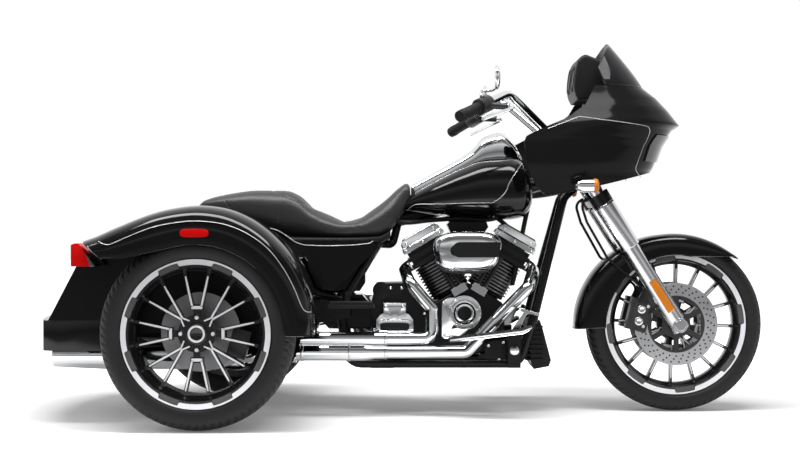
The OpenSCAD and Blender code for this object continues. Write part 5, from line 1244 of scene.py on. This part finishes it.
def cleanerParts():
    line = cleanerOutline(fullTurn(120))
    share, out = smoothPath(np.array([[s * 100, d, 0] for s, d in cleaner["dome"]]), 40)[:, :2].T
    flat = line[None] * share[:, None, None] / 100
    y = np.broadcast_to(cleaner["y"] - out[:, None], flat.shape[:2])
    return facing(ringParts(np.stack([cleaner["x"] + flat[..., 0], y, cleaner["z"] + flat[..., 1]], -1) / 1000), False)


# Share of the outline at a point, as the largest over the outline's edges, and the dome's height there
def domeHeight(x, z):
    line = cleanerOutline(fullTurn(120))
    edge = np.roll(line, -1, 0) - line
    normal = np.stack([edge[:, 1], -edge[:, 0]], -1)
    share = np.max((x[..., None] * normal[:, 0] + z[..., None] * normal[:, 1]) / np.sum(normal * line, 1), -1)
    table = np.array(cleaner["dome"])[::-1]
    return np.interp(share, table[:, 0], table[:, 1])


# Inset: a strip with a round rear end, laid on the dome
def insetParts():
    left, right, half = cleaner["inset"]
    u, v = np.meshgrid(np.linspace(0, 1, 60), np.linspace(-1, 1, 25), indexing="ij")
    reach = np.sqrt(np.clip(1 - np.clip(1 - u * (right - left) / half, 0, 1) ** 2, 0.0004, 1))
    x, z = left + u * (right - left), 3 + v * half * reach
    x = np.minimum(x, 112 - 0.12 * np.abs(z - 6) ** 1.3)
    lay = lambda lift: np.stack([cleaner["x"] + x, cleaner["y"] - domeHeight(x, z) - lift, cleaner["z"] + z], -1) / 1000
    return sheetParts(lay(1.2), lay(-3.0))


meshObject("cleanerDome", *cleanerParts(), chrome, "chassis")
meshObject("cleanerInset", *insetParts(), plasticBlack, "chassis")


# Barrel sleeves between the fins, along each bank
def sleeveParts(side):
    foot, top = bankPoint(side, 122, 0, 0), bankPoint(side, 254, 0, 0)
    length = np.linalg.norm(top - foot)
    return turnedParts(foot, top - foot, [[0.06, 0], [0.0705, 0], [0.0705, length], [0.06, length]], 48)


meshObject("barrelSleeves", *bothSides(sleeveParts), engineBlack, "chassis")


# Fork shrouds from the sliders to the lower yoke: turned about the fork legs
shroud = {"y": 128, "angle": 32, "low": 329,
          "profile": [[34.0, 0], [36.6, 0], [37.2, 3], [38.6, 120], [39.2, 176], [38.6, 182], [26, 182]]}


def shroudParts(side):
    lean = math.radians(shroud["angle"])
    axis = np.array([-math.sin(lean), 0, math.cos(lean)])
    foot = np.array([stance["frontX"] * 1000, side * shroud["y"], 319.0]) + axis * shroud["low"]
    return turnedParts(foot / 1000, axis, np.array(shroud["profile"]) / 1000, 48)


meshObject("forkShrouds", *bothSides(shroudParts), satinChrome, "steering")


# Inner panels of the rear fenders: a disc sector behind each wheel, [degrees, outer radius] from front to rear
liner = {"y": 440, "rows": [[-22, 318], [0, 334], [45, 338], [90, 338], [135, 336], [172, 330], [186, 318]], "inner": 30}


def linerParts(side):
    a, r = np.linspace(-22, 186, 60), np.linspace(0, 1, 8)
    outer = np.interp(a, *np.array(liner["rows"]).T)
    radius = liner["inner"] + (outer - liner["inner"])[:, None] * r
    x, z = radius * np.cos(np.radians(a))[:, None], radius * np.sin(np.radians(a))[:, None]
    lay = lambda y: np.stack([stance["rearX"] * 1000 + x, np.full(x.shape, side * y), stance["rearR"] * 1000 + z], -1) / 1000
    return facing(sheetParts(lay(liner["y"] + 1.5), lay(liner["y"] - 1.5)), side < 0)


# Looms under the tank and beside the down tubes
looms = [[[352, -66, 712], [300, -70, 700], [200, -66, 704], [90, -70, 698], [-20, -66, 690], [-70, -62, 700]],
         [[440, -58, 742], [428, -66, 690], [414, -70, 620], [402, -72, 560], [392, -66, 500], [384, -52, 462]],
         [[352, 66, 712], [300, 70, 700], [200, 66, 704], [90, 70, 698], [-20, 66, 690], [-70, 62, 700]],
         [[330, -64, 704], [366, -72, 672], [392, -74, 640], [410, -66, 600]]]
meshObject("wiringLooms", *joinParts([tubeParts(smoothPath(line, 48) / 1000, 0.0085, 14) for line in looms]), plasticBlack, "chassis")
meshObject("fenderLiners", *bothSides(linerParts), plasticBlack, "chassis")
print("trike: cleaner, sleeves, shrouds and liners made")

# Studio: white for camera, glossy and transmission rays towards the backdrop, a dim room behind the camera,
# and a pale floor that keeps the shadow and turns white away from it
studio = {"floor": 0.8, "floorFar": 0.12, "strip": 200.0, "fill": 45.0, "rear": 30.0, "ambient": 0.4, "near": 0.12,
          # Room behind the camera: [height of the direction, brightness]
          "room": [[0.0, 0.16], [0.06, 0.36], [0.2, 0.8], [0.36, 0.22], [0.56, 0.1], [0.75, 0.3], [1.0, 0.22]]}


def makeWorld():
    world = bpy.data.worlds.new("studioWorld")
    bpy.context.scene.world = world
    world.use_nodes = True
    tree = world.node_tree
    shader = tree.nodes["Background"]
    shader.inputs[0].default_value = (1, 1, 1, 1)
    place = placeOf(tree, "Generated")
    sweep = rangeNode(tree, place[1], -0.1, 0.25)
    ramp = addNode(tree, "ShaderNodeValToRGB", [(place[2], 0)])
    while len(ramp.color_ramp.elements) < len(studio["room"]):
        ramp.color_ramp.elements.new(0.5)
    for element, (height, value) in zip(ramp.color_ramp.elements, studio["room"]):
        element.position, element.color = height, (value, value, value, 1)
    around = mixNode(tree, sweep, ramp.outputs[0], 1.0)
    path = addNode(tree, "ShaderNodeLightPath")
    mirror = mathNode(tree, "MAXIMUM", path.outputs["Is Glossy Ray"], path.outputs["Is Transmission Ray"])
    shown = mixNode(tree, mirror, studio["ambient"], around)
    tree.links.new(mixNode(tree, path.outputs["Is Camera Ray"], shown, 1.0), shader.inputs[1])


def areaLight(name, place, target, size, power, mirrored=True):
    light = bpy.data.lights.new(name, "AREA")
    light.shape = "RECTANGLE"
    light.size, light.size_y = size
    light.energy = power
    obj = bpy.data.objects.new(name, light)
    bpy.context.scene.collection.objects.link(obj)
    obj.location = place
    obj.visible_glossy = mirrored
    aim = np.array(target) - np.array(place)
    obj.rotation_euler = (math.atan2(math.hypot(aim[0], aim[1]), -aim[2]), 0, math.atan2(aim[1], aim[0]) - math.pi / 2)


makeWorld()
areaLight("lampStrip", (-0.2, -1.0, 3.4), (0, 0.1, 0.4), (4.2, 0.95), studio["strip"])
areaLight("lampFill", (1.5, -5.5, 2.6), (0.2, 0, 0.6), (4.0, 1.2), studio["fill"], False)
areaLight("lampRear", (-3.4, -1.6, 2.2), (-0.4, 0, 0.6), (1.2, 1.6), studio["rear"], False)


def makeFloor():
    material, tree, shader = newMaterial("studioFloor", Roughness=0.9)
    shader.inputs["Specular IOR Level"].default_value = 0.1
    coord = addNode(tree, "ShaderNodeTexCoord")
    stretch = addNode(tree, "ShaderNodeMapping", [(coord.outputs["Object"], "Vector")])
    stretch.inputs["Scale"].default_value = (0.55, 1.0, 1.0)
    away = addNode(tree, "ShaderNodeVectorMath", [(stretch.outputs[0], 0)], operation="LENGTH")
    glow = rangeNode(tree, away.outputs["Value"], 0.7, 1.7, studio["near"])
    # The part of the floor before the camera lies in the dim room
    front = rangeNode(tree, placeOf(tree)[1], -2.3, -1.2, 0.15)
    shade = mixNode(tree, front, (studio["floorFar"],) * 3, (studio["floor"],) * 3, True)
    tree.links.new(shade, shader.inputs["Base Color"])
    path = addNode(tree, "ShaderNodeLightPath")
    mirror = mathNode(tree, "MAXIMUM", path.outputs["Is Glossy Ray"], path.outputs["Is Transmission Ray"])
    seen = mathNode(tree, "MAXIMUM", path.outputs["Is Camera Ray"], mathNode(tree, "MULTIPLY", mirror, front))
    shader.inputs["Emission Color"].default_value = (1, 1, 1, 1)
    tree.links.new(mathNode(tree, "MULTIPLY", glow, seen), shader.inputs["Emission Strength"])
    mesh = bpy.data.meshes.new("studioFloor")
    mesh.from_pydata([(-30, -30, -0.0005), (30, -30, -0.0005), (30, 30, -0.0005), (-30, 30, -0.0005)], [], [(0, 1, 2, 3)])
    mesh.materials.append(material)
    obj = bpy.data.objects.new("studioFloor", mesh)
    bpy.context.scene.collection.objects.link(obj)


makeFloor()

# Camera at the photograph's place: side view from the right
view = {"place": (-0.026, -5.69, 0.656), "lens": 69.5, "sensor": 36.0, "shiftY": 3.0 / 800}
camera = bpy.data.objects.new("camera", bpy.data.cameras.new("camera"))
bpy.context.scene.collection.objects.link(camera)
camera.location = view["place"]
camera.rotation_euler = (math.pi / 2, 0, 0)
camera.data.lens = view["lens"]
camera.data.sensor_width = view["sensor"]
camera.data.shift_y = view["shiftY"]
camera.data.clip_end = 100
bpy.context.scene.camera = camera
bpy.context.scene.view_settings.view_transform = "Standard"
print("trike: studio set")
